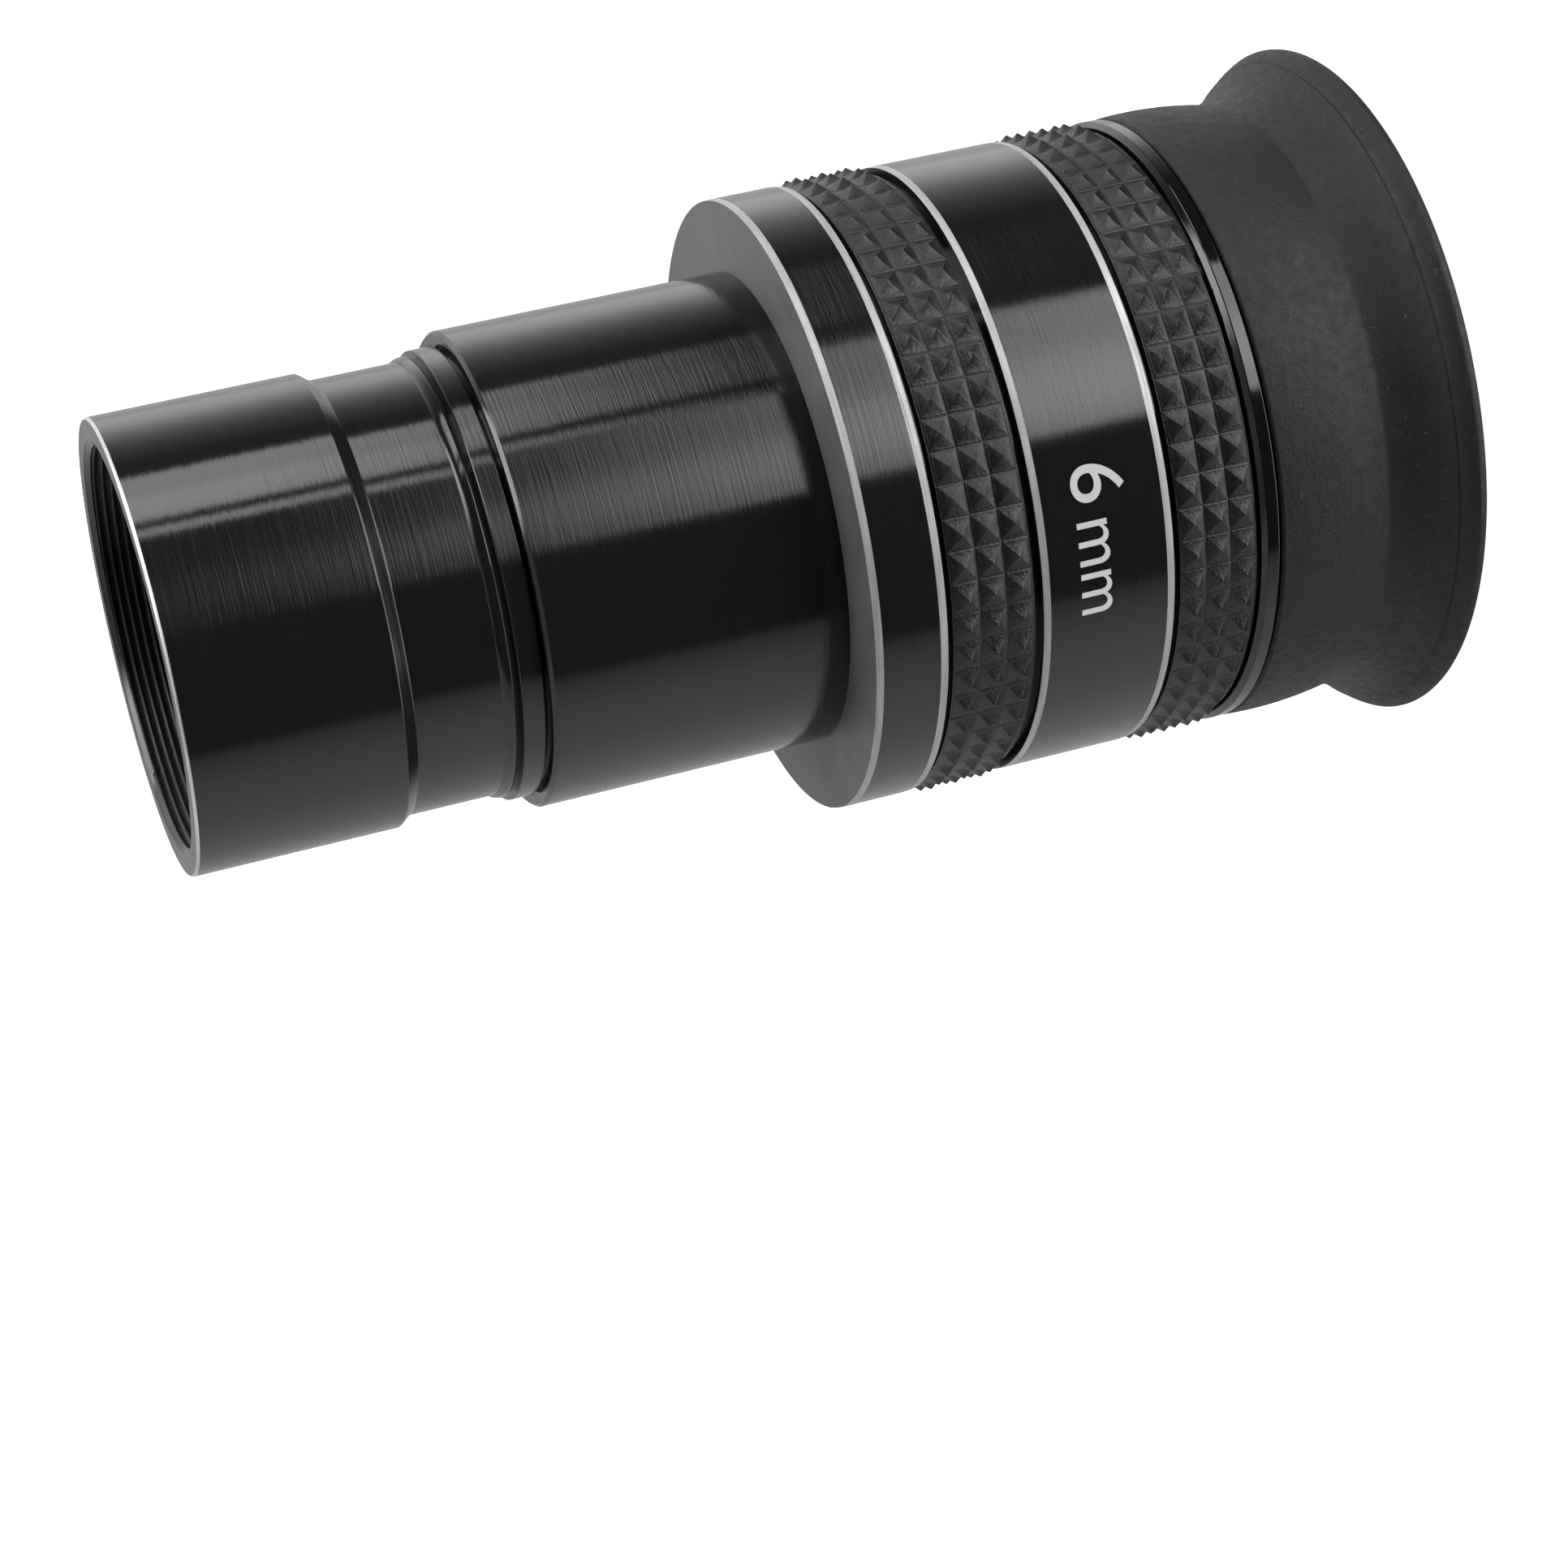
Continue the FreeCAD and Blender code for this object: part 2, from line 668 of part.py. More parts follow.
def make_eye_lens_retaining_ring(doc):
    seat = mm.cell_bottom
    body = turned(doc, "eye_lens_retaining_ring", seat, [
        Corner(mm.eye_ring_mouth_radius, mm.cell_bottom),
        Corner(mm.eye_ring_radius, mm.cell_bottom),
        Corner(mm.eye_ring_radius, mm.eye_lens_bottom),
        Corner(mm.eye_ring_throat_radius, mm.eye_lens_bottom - mm.seat_relief),
        Corner(mm.eye_ring_throat_radius, mm.eye_ring_cone_top),
    ])
    cut_spanner_slots(doc, body)
    return body


def cut_spanner_slots(doc, body):
    """Two notches across the ring's eye face, for a pin spanner."""
    before = body.Shape.Volume
    sketch = new_sketch(body, "YZ_Plane", "spanner_slot_section")
    half_width = mm.eye_ring_slot_width / 2
    corners = [
        FreeCAD.Vector(-half_width.value, 0, 0),
        FreeCAD.Vector(half_width.value, 0, 0),
        FreeCAD.Vector(half_width.value, mm.eye_ring_slot_depth.value, 0),
        FreeCAD.Vector(-half_width.value, mm.eye_ring_slot_depth.value, 0),
    ]
    sides = [sketch.addGeometry(Part.LineSegment(corners[i], corners[(i + 1) % 4])) for i in range(4)]
    for index, side in enumerate(sides):
        following = sides[(index + 1) % 4]
        sketch.addConstraint(Sketcher.Constraint("Coincident", side, 2, following, 1))
    sketch.addConstraint(Sketcher.Constraint("Horizontal", sides[2]))
    sketch.addConstraint(Sketcher.Constraint("Vertical", sides[1]))
    sketch.addConstraint(Sketcher.Constraint("Vertical", sides[3]))
    sketch.addConstraint(Sketcher.Constraint("PointOnObject", sides[0], 1, -1))
    sketch.addConstraint(Sketcher.Constraint("Symmetric", sides[0], 1, sides[0], 2, -2))
    width = mm.eye_ring_slot_width
    depth = mm.eye_ring_slot_depth
    bind(sketch, Sketcher.Constraint("DistanceX", sides[0], 1, sides[0], 2, width.value), width)
    bind(sketch, Sketcher.Constraint("DistanceY", sides[1], 1, sides[1], 2, depth.value), depth)
    notch = body.newObject("PartDesign::Pocket", "spanner_slots")
    notch.Profile = sketch
    notch.Type = "Length"
    notch.Midplane = True
    notch.setExpression("Length", (mm.eye_ring_radius * 2 + mm.eye_ring_slot_width).text)
    cut_with(doc, body, notch, before)


def make_positive_lenses(doc):
    radius = mm.lens_radius
    eye = lens(doc, "eye_lens", mm.eye_lens_bottom, mm.eye_lens_top, radius,
               (mm.eye_lens_low_sag, 1), (mm.eye_lens_high_sag, 1))
    crown = lens(doc, "doublet_crown", mm.crown_bottom, mm.crown_joint, radius,
                 (mm.crown_low_sag, 1), (mm.crown_high_sag, 1))
    flint = lens(doc, "doublet_flint", mm.crown_joint, mm.flint_top, radius,
                 (mm.crown_high_sag, -1), (mm.flint_high_sag, -1))
    field = lens(doc, "field_lens", mm.field_lens_bottom, mm.cell_shoulder, radius,
                 (mm.field_lens_sag, 1), (None, 1))
    return [eye, crown, flint, field]


def make_spacers(doc):
    return [
        spacer(doc, "eye_spacer", mm.eye_lens_top, mm.crown_bottom),
        spacer(doc, "field_spacer", mm.flint_top, mm.field_lens_bottom),
    ]


# ---------------------------------------------------------------- twist-up eyecup

def make_twist_sleeve(doc):
    seat = mm.sleeve_bottom
    body = turned(doc, "twist_sleeve", seat, [
        Corner(mm.sleeve_bore_radius, mm.sleeve_bottom),
        Corner(mm.sleeve_tail_radius, mm.sleeve_bottom),
        Corner(mm.sleeve_tail_radius, mm.cup_top),
        Corner(mm.trim_groove_radius, mm.cup_top),
        Corner(mm.trim_groove_radius, mm.trim_bottom),
        Corner(mm.trim_radius, mm.trim_bottom),
        Corner(mm.trim_radius, mm.trim_top - mm.trim_chamfer),
        Corner(mm.trim_radius - mm.trim_chamfer, mm.trim_top),
        Corner(mm.grip_seat_radius, mm.trim_top),
        Corner(mm.grip_seat_radius, mm.sleeve_top),
        Corner(mm.sleeve_bore_radius, mm.sleeve_top),
        Corner(mm.sleeve_bore_radius, mm.damping_groove_top),
        Corner(mm.damping_groove_radius, mm.damping_groove_top),
        Corner(mm.damping_groove_radius, mm.damping_groove_bottom),
        Corner(mm.sleeve_bore_radius, mm.damping_groove_bottom),
    ])
    cut_radial_holes(doc, body, "pin_hole", seat, mm.pin_height, mm.pin_radius)
    return body


def make_guide_pins(doc):
    def one(index):
        return radial_cylinder(doc, "guide_pin", index, mm.pin_radius, mm.pin_inner, mm.pin_outer,
                               mm.pin_height)
    return radial_group(doc, "guide_pins", one)


def make_damping_ring(doc):
    cord = doc.addObject("Part::Torus", "damping_ring")
    cord.Label = "damping_ring"
    cord.setExpression("Radius1", mm.damping_ring_radius.text)
    cord.setExpression("Radius2", mm.damping_cord_radius.text)
    middle = (mm.damping_groove_bottom + mm.damping_groove_top) / 2
    cord.setExpression("Placement.Base.z", middle.text)
    doc.recompute()
    return cord


def make_grip_ring(doc, label, bottom, top):
    """A rubber band with a raised field between two thin flat borders."""
    return turned(doc, label, bottom, [
        Corner(mm.grip_bore_radius, bottom),
        Corner(mm.grip_border_radius, bottom),
        Corner(mm.grip_radius, bottom + mm.grip_border),
        Corner(mm.grip_radius, top - mm.grip_border),
        Corner(mm.grip_border_radius, top),
        Corner(mm.grip_bore_radius, top),
    ])


def make_rubber_eyecup(doc):
    return turned(doc, "rubber_eyecup", RIM_PLANE, [
        Corner(mm.cup_rim_inner_radius, RIM_PLANE),
        Corner(mm.cup_rim_outer_radius, RIM_PLANE),
        Corner(mm.cup_lip_radius, mm.cup_lip_height, mm.cup_lip_arc, 1),
        Corner(mm.cup_waist_radius, mm.cup_waist, mm.cup_flare_arc, -1),
        Corner(mm.cup_bulge_bottom_radius, mm.cup_bulge_bottom, mm.cup_waist_arc, -1),
        Corner(mm.cup_top_radius, mm.cup_top, mm.cup_bulge_arc, 1),
        Corner(mm.cup_skirt_radius, mm.cup_top),
        Corner(mm.cup_skirt_radius, mm.cup_floor_top),
        Corner(mm.cup_hole_radius, mm.cup_floor_top),
        Corner(mm.cup_hole_radius, mm.cup_floor_bottom),
        Corner(mm.cup_shelf_radius, mm.cup_floor_bottom),
        Corner(mm.cup_mouth_radius, mm.cup_lip_height),
    ])


# ---------------------------------------------------------------- whole eyepiece

def make_all(doc):
    nodes = [
        make_nose_barrel(doc),
        make_smyth_cell(doc),
        make_smyth_retaining_ring(doc),
        make_extension_tube(doc),
        make_glare_baffle(doc),
        make_main_housing(doc),
        make_grip_ring(doc, "lower_grip_ring", mm.lower_grip_bottom, mm.lower_grip_top),
        make_field_stop(doc),
        make_cell_grub_screws(doc),
        make_lens_cell(doc),
        make_eye_lens_retaining_ring(doc),
        make_twist_sleeve(doc),
        make_guide_pins(doc),
        make_damping_ring(doc),
        make_grip_ring(doc, "upper_grip_ring", mm.upper_grip_bottom, mm.upper_grip_top),
        make_rubber_eyecup(doc),
    ]
    return nodes + make_smyth_lenses(doc) + make_positive_lenses(doc) + make_spacers(doc)


def check_document(doc, nodes):
    for item in doc.Objects:
        if any(state in item.State for state in DEFINING_STATES):
            raise RuntimeError(f"{item.Name} is in state {item.State}")
    for node in nodes:
        if node.Shape.isNull() or not node.Shape.isValid():
            raise RuntimeError(f"{node.Label} has no valid shape")


def write_parts(nodes):
    os.makedirs("parts", exist_ok=True)
    for node in nodes:
        node.Shape.exportStep(os.path.join("parts", node.Label + ".step"))
        print(f"{node.Label}: {len(node.Shape.Solids)} solid(s), {node.Shape.Volume:.1f} mm3")


def main():
    doc = FreeCAD.newDocument("eyepiece")
    make_sheet(doc)
    nodes = make_all(doc)
    doc.recompute()
    check_document(doc, nodes)
    write_parts(nodes)


main()
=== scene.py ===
import json
import math
from collections import namedtuple

import bmesh
import bpy
from mathutils import Matrix, Vector

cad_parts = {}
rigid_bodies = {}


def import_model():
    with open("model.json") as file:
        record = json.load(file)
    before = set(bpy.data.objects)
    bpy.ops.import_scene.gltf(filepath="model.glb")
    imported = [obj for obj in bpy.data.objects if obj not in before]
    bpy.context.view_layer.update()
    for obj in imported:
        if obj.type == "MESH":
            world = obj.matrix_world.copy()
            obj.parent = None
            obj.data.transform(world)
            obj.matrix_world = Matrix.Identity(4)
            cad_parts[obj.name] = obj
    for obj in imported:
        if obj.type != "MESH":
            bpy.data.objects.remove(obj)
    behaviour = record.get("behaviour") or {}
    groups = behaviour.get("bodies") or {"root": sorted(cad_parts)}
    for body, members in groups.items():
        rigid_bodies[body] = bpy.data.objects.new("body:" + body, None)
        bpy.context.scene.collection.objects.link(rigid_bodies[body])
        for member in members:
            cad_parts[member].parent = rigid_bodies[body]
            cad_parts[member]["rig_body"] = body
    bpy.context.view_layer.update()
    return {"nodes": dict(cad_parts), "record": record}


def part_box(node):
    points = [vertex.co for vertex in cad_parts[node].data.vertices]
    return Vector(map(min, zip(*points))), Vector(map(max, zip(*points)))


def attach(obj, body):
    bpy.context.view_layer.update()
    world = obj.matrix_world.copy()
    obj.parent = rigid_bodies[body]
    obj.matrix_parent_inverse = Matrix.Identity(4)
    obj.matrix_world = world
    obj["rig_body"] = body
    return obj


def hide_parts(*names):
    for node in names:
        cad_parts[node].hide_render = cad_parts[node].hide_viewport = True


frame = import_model()

# Every length below is in millimetres unless it says otherwise. MM turns it into metres.
MM = 0.001
ROUND = 2 * math.pi
SEGMENTS = 288
FILLET_STEPS = 4
FILLET_SHARE = 0.45  # the most of a side's length that one fillet may take
LONG_SIDE = 0.4      # an outline side longer than this is held flat
HOLD = 0.03          # how far from the ends it is held
SHARP_ANGLE = math.radians(28)

Span = namedtuple("Span", "bottom top radius")


def span(node):
    """A CAD node's bottom, top and outer radius."""
    low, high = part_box(node)
    return Span(low.z / MM, high.z / MM, high.x / MM)


# ------------------------------------------------------------------ outlines and turned meshes

def rounded(corners):
    """A closed outline through (radius, height, fillet) corners, with each fillet as a short curve."""
    outline = []
    for index, (radius, height, fillet) in enumerate(corners):
        here = Vector((radius, height))
        before = Vector(corners[index - 1][:2])
        after = Vector(corners[(index + 1) % len(corners)][:2])
        if fillet == 0:
            outline.append(tuple(here))
            continue
        back, ahead = (before - here).normalized(), (after - here).normalized()
        half = back.angle(ahead) / 2
        shorter = min((before - here).length, (after - here).length)
        reach = min(fillet / math.tan(half), shorter * FILLET_SHARE)
        start, finish = here + back * reach, here + ahead * reach
        for step in range(FILLET_STEPS + 1):
            share = step / FILLET_STEPS
            near = start.lerp(here, share)
            far = here.lerp(finish, share)
            outline.append(tuple(near.lerp(far, share)))
    return outline


def bowed(start, finish, bow, steps):
    """Points after start, up to finish, on an arc whose middle stands bow to the left of the chord."""
    start, finish = Vector(start), Vector(finish)
    chord = finish - start
    left = Vector((-chord.y, chord.x)).normalized()
    half = chord.length / 2
    radius = (half * half + bow * bow) / (2 * abs(bow))
    sweep = math.asin(min(1.0, half / radius))
    points = []
    for step in range(1, steps + 1):
        angle = -sweep + 2 * sweep * step / steps
        along = half + radius * math.sin(angle)
        rise = radius * (math.cos(angle) - math.cos(sweep)) * math.copysign(1, bow)
        points.append(tuple(start + chord.normalized() * along + left * rise))
    return points


def held(outline):
    """The outline with a point just inside both ends of every long side, so that smooth shading keeps
    to the bevels and the long faces stay true."""
    points = []
    for index, start in enumerate(outline):
        here, there = Vector(start), Vector(outline[(index + 1) % len(outline)])
        points.append(start)
        length = (there - here).length
        if length > LONG_SIDE:
            points.append(tuple(here.lerp(there, HOLD / length)))
            points.append(tuple(there.lerp(here, HOLD / length)))
    return points


def on_ring(radius, angle, height):
    """The point in metres at this radius, angle and height."""
    return (radius * MM * math.cos(angle), radius * MM * math.sin(angle), height * MM)


def lathe(name, outline, shape=None, finish_of=None):
    """A closed turned mesh from an outline. shape changes a radius by height and angle, and finish_of
    picks the material slot of the face between two outline points."""
    outline = held(outline)
    count = len(outline)
    points = []
    for column in range(SEGMENTS):
        angle = ROUND * column / SEGMENTS
        for radius, height in outline:
            wide = shape(radius, height, angle) if shape else radius
            points.append(on_ring(wide, angle, height))
    faces = []
    for column in range(SEGMENTS):
        here, there = column * count, ((column + 1) % SEGMENTS) * count
        for row in range(count):
            following = (row + 1) % count
            faces.append((here + row, there + row, there + following, here + following))
    mesh = mesh_from(name, points, faces)
    if finish_of:
        finishes = [finish_of(outline[row], outline[(row + 1) % count]) for row in range(count)]
        mesh.polygons.foreach_set("material_index", finishes * SEGMENTS)
    return shown(name, mesh)


def solid_lens(name, outline):
    """A closed turned mesh whose outline starts and ends on the axis."""
    low, *wall, high = outline
    count = len(wall)
    points = [on_ring(0, 0, low[1]), on_ring(0, 0, high[1])]
    for column in range(SEGMENTS):
        points += [on_ring(radius, ROUND * column / SEGMENTS, height) for radius, height in wall]
    faces = []
    for column in range(SEGMENTS):
        here = 2 + column * count
        there = 2 + ((column + 1) % SEGMENTS) * count
        faces.append((0, there, here))
        faces.append((1, here + count - 1, there + count - 1))
        for row in range(count - 1):
            faces.append((here + row, there + row, there + row + 1, here + row + 1))
    return shown(name, mesh_from(name, points, faces))


def mesh_from(name, points, faces):
    mesh = bpy.data.meshes.new(name)
    mesh.from_pydata(points, [], faces)
    return mesh


def shown(name, mesh):
    """Clean the mesh, shade it smooth up to its sharp edges, and put it in the scene."""
    work = bmesh.new()
    work.from_mesh(mesh)
    bmesh.ops.recalc_face_normals(work, faces=work.faces)
    work.to_mesh(mesh)
    work.free()
    mesh.shade_smooth()
    mesh.set_sharp_from_angle(angle=SHARP_ANGLE)
    piece = bpy.data.objects.new(name, mesh)
    bpy.context.scene.collection.objects.link(piece)
    return piece


def stand_for(piece, node, slot, *materials):
    """The piece takes the place of a CAD node, in the same body. The slot argument is not used."""
    for material in materials:
        piece.data.materials.append(material)
    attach(piece, frame["nodes"][node]["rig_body"])
    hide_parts(node)


# ------------------------------------------------------------------ materials

MIX_A, MIX_B, MIX_RESULT = 6, 7, 2      # a Mix node's colour sockets, which share their names with others


class Graph:
    """A small helper for building a node tree."""

    def __init__(self, tree):
        self.tree = tree
        self.tree.nodes.clear()

    def add(self, kind, settings=None, **inputs):
        node = self.tree.nodes.new(kind)
        for key, value in (settings or {}).items():
            setattr(node, key, value)
        for key, value in inputs.items():
            self.feed(node.inputs[key.replace("_", " ")], value)
        return node

    def feed(self, socket, value):
        if isinstance(value, bpy.types.NodeSocket):
            self.tree.links.new(value, socket)
        else:
            socket.default_value = value

    def math(self, operation, *values, kind="ShaderNodeMath"):
        node = self.add(kind, {"operation": operation})
        for socket, value in zip(node.inputs, values):
            self.feed(socket, value)
        return node.outputs[0]


class Shader(Graph):
    """A material and its node tree."""

    def __init__(self, name):
        self.material = bpy.data.materials.new(name)
        self.material.use_nodes = True
        super().__init__(self.material.node_tree)
        self.output = self.add("ShaderNodeOutputMaterial")
        self.place = self.add("ShaderNodeTexCoord").outputs["Object"]

    def stretched(self, scale):
        return self.add("ShaderNodeMapping", Vector=self.place, Scale=scale).outputs["Vector"]

    def noise(self, vector, scale=1.0, detail=4.0, roughness=0.55):
        return self.add("ShaderNodeTexNoise", Vector=vector, Scale=scale, Detail=detail,
                        Roughness=roughness).outputs["Fac"]

    def spread(self, value, low, high, to_low, to_high):
        """The value from one range to another, held at its ends."""
        return self.add("ShaderNodeMapRange", Value=value, From_Min=low, From_Max=high,
                        To_Min=to_low, To_Max=to_high).outputs["Result"]

    def mixed(self, share, first, second):
        node = self.add("ShaderNodeMix", {"data_type": "RGBA"}, Factor=share)
        self.feed(node.inputs[MIX_A], first)
        self.feed(node.inputs[MIX_B], second)
        return node.outputs[MIX_RESULT]

    def bump(self, height, strength, distance, normal=None):
        node = self.add("ShaderNodeBump", Strength=strength, Distance=distance, Height=height)
        if normal:
            self.feed(node.inputs["Normal"], normal)
        return node.outputs["Normal"]

    def principled(self, settings):
        node = self.add("ShaderNodeBsdfPrincipled")
        for key, value in settings.items():
            self.feed(node.inputs[key], value)
        self.feed(self.output.inputs["Surface"], node.outputs[0])
        return self.material


def grey(level):
    """A grey with the faintest blue."""
    return (level, level, level * 1.02, 1.0)


def turned_metal(name, level, roughness, metallic, line_depth, chatter=0.08, anisotropy=0.6):
    """Lathe-turned metal: fine and coarser rings round the axis, short tool marks that break up a
    highlight's edge, and a few dull spots."""
    s = Shader(name)
    fine = s.noise(s.stretched((110, 110, 11000)), detail=3.0)
    coarse = s.noise(s.stretched((220, 220, 4800)), detail=3.0)
    marks = s.noise(s.stretched((320, 320, 14000)), detail=2.0)
    cloud = s.noise(s.stretched((170, 170, 170)), detail=5.0)
    lines = s.math("ADD", s.math("MULTIPLY", fine, 0.4), s.math("MULTIPLY", coarse, 0.6))
    dull = s.math("ADD", s.spread(cloud, 0.35, 0.75, roughness * 0.9, roughness * 1.12),
                  s.spread(fine, 0.5, 0.72, 0.0, roughness * 0.35))
    tone = s.spread(lines, 0.35, 0.65, 0.0, 1.0)
    colour = s.mixed(tone, grey(level * 0.85), grey(level * 1.15))
    tangent = s.add("ShaderNodeTangent", {"direction_type": "RADIAL", "axis": "Z"}).outputs["Tangent"]
    swing = s.math("MULTIPLY", s.math("SUBTRACT", marks, 0.5), chatter)
    sideways = s.add("ShaderNodeVectorMath", {"operation": "SCALE"}, Vector=tangent, Scale=swing)
    normal = s.add("ShaderNodeNewGeometry").outputs["Normal"]
    leaning = s.math("ADD", normal, sideways.outputs[0], kind="ShaderNodeVectorMath")
    unit = s.math("NORMALIZE", leaning, kind="ShaderNodeVectorMath")
    return s.principled(
        {"Base Color": colour, "Roughness": dull, "Metallic": metallic,
         "Normal": s.bump(lines, line_depth, 0.00002, unit), "Tangent": tangent,
         "Anisotropic": anisotropy, "Anisotropic Rotation": 0.25})


def anodised(name, level, roughness, line_depth):
    """Black anodising: a dark dyed oxide with a clear sheen over turned metal."""
    return turned_metal(name, level, roughness, 0.0, line_depth, chatter=0.035)


def rubber(name, level, roughness, grain, dust_level, shine=0.5):
    """Moulded rubber: a fine grain, soft patches and pale dust caught in it."""
    s = Shader(name)
    skin = s.noise(s.place, 4200.0, roughness=0.65)
    mottle = s.noise(s.place, 1500.0, roughness=0.6)
    patch = s.noise(s.place, 260.0)
    specks = s.noise(s.place, 3000.0, detail=2.0, roughness=0.7)
    dust = s.spread(specks, 0.66, 0.76, 0.0, 1.0)
    body = s.mixed(patch, grey(level * 0.8), grey(level * 1.25))
    colour = s.mixed(dust, body, grey(dust_level))
    dull = s.math("ADD", s.spread(mottle, 0.3, 0.7, roughness - 0.09, roughness + 0.09),
                  s.spread(patch, 0.3, 0.7, -0.03, 0.03))
    normal = s.bump(skin, grain, 0.00009, s.bump(mottle, grain * 0.5, 0.00012))
    return s.principled(
        {"Base Color": colour, "Roughness": dull, "Normal": normal, "Specular IOR Level": shine})


def coated_glass(name, tint, film_nm):
    """Polished glass with a thin anti-reflection film and a trace of dust."""
    s = Shader(name)
    haze = s.noise(s.place, 900.0, detail=5.0)
    dull = s.spread(haze, 0.62, 0.8, 0.0, 0.06)
    return s.principled(
        {"Base Color": tint, "Roughness": dull, "Transmission Weight": 1.0, "IOR": 1.6,
         "Thin Film Thickness": film_nm, "Thin Film IOR": 1.38})


def flat_black(name, level):
    """Matt black paint with fine ridges, used inside the barrels against glare."""
    s = Shader(name)
    ridges = s.noise(s.stretched((60, 60, 5200)), detail=2.0)
    grain = s.noise(s.place, 5200.0, detail=3.0)
    colour = s.mixed(grain, grey(level * 0.7), grey(level * 1.4))
    normal = s.bump(grain, 0.25, 0.00004, s.bump(ridges, 0.35, 0.00004))
    return s.principled({"Base Color": colour, "Roughness": s.spread(grain, 0.3, 0.7, 0.42, 0.6),
                         "Normal": normal, "Specular IOR Level": 0.5})


def print_ink(name, level):
    """Pad-printed marking ink, a little uneven."""
    s = Shader(name)
    blot = s.noise(s.place, 5200.0)
    colour = s.mixed(blot, grey(level * 0.93), grey(level * 1.04))
    return s.principled({"Base Color": colour, "Roughness": s.spread(blot, 0.3, 0.7, 0.5, 0.68),
                         "Normal": s.bump(blot, 0.15, 0.00002)})


black = anodised("black_anodised", level=0.008, roughness=0.12, line_depth=0.5)
gloss = anodised("gloss_black_anodised", level=0.005, roughness=0.09, line_depth=0.03)
# End faces: the faced finish's turning marks and anisotropy are real, but the grey base colour is painted
# sheen. It is a lighter copy of the black anodising that stands in for the light these faces catch.
faced_with_painted_sheen = anodised("faced_anodised_painted_sheen", level=0.1, roughness=0.38, line_depth=0.2)
bare = turned_metal(
    "bare_aluminium", level=0.6, roughness=0.7, metallic=1.0, line_depth=0.15, anisotropy=0.0)
cut_edge = turned_metal(
    "cut_edge_aluminium", level=0.7, roughness=0.42, metallic=1.0, line_depth=0.1, anisotropy=0.0)
steel = turned_metal("steel", level=0.45, roughness=0.35, metallic=1.0, line_depth=0.2)
inner_black = flat_black("inner_black", level=0.026)
grip_rubber = rubber("grip_rubber", level=0.007, roughness=0.38, grain=0.6, dust_level=0.05)
cup_rubber = rubber("eyecup_rubber", level=0.009, roughness=0.58, grain=0.6, dust_level=0.055, shine=0.4)
seal_rubber = rubber("seal_rubber", level=0.02, roughness=0.4, grain=0.1, dust_level=0.03)
eye_glass = coated_glass("coated_glass_eye", (0.93, 0.97, 0.95, 1), film_nm=460.0)
inner_glass = coated_glass("coated_glass_inner", (0.93, 0.96, 0.97, 1), film_nm=330.0)
ink = print_ink("marking_ink", level=0.52)


# ------------------------------------------------------------------ nose barrel

barrel = span("nose_barrel")
tube = span("extension_tube")
housing = span("main_housing")
lower_grip = span("lower_grip_ring")
upper_grip = span("upper_grip_ring")
sleeve = span("twist_sleeve")
cup = span("rubber_eyecup")

EDGE = 0.06          # broken edges on turned corners
CREST = 13.93        # the internal thread's crest radius
THREAD_DEPTH = 0.32
THREAD_PITCH = 0.6
THREAD_FLAT = 0.12   # the share of a turn that is flat crest
THREAD_ROWS = 10     # outline points for each turn of the thread
THREAD_LEAD_IN = 0.4
THREAD_LENGTH = 6.5
NOSE_LAND = 14.4     # from the nose's end face to the undercut's taper
NOSE_CHAMFER_IN = 0.13
NOSE_CHAMFER_DOWN = 0.17
BRIGHT_EDGE_IN = 0.16    # the chamfer and its roundings, which are cut bright
BRIGHT_EDGE_DOWN = 0.25
UNDERCUT_TAPER = 0.85
UNDERCUT_FLOOR = 5.95
UNDERCUT_RADIUS = 15.2
LIP_OUT = 0.3        # the lip at the undercut's lower end, out from its floor
LIP_RISE = 0.56      # and up from the rim
LIP_WALL = 0.06
RIM_GROOVE = 15.32   # the narrow groove between that lip and the rim
RIM_GROOVE_RISE = 0.12
BARREL_RIM_RISE = 1.2
BARREL_RIM = 1.5
BARREL_RIM_RADIUS = 15.8
BARREL_RIM_ROUND = 0.05
BARREL_BORE = 13.6
BARREL_THROAT = 12.0
SPIGOT_RADIUS = 14.45
BORE_FLOOR = 66.0


def thread_depth_at(phase):
    """A V groove with a short flat crest, over one turn of the phase."""
    along = phase % 1.0
    return 0.0 if along < THREAD_FLAT else 1.0 - abs((along - THREAD_FLAT) / (1 - THREAD_FLAT) * 2 - 1)


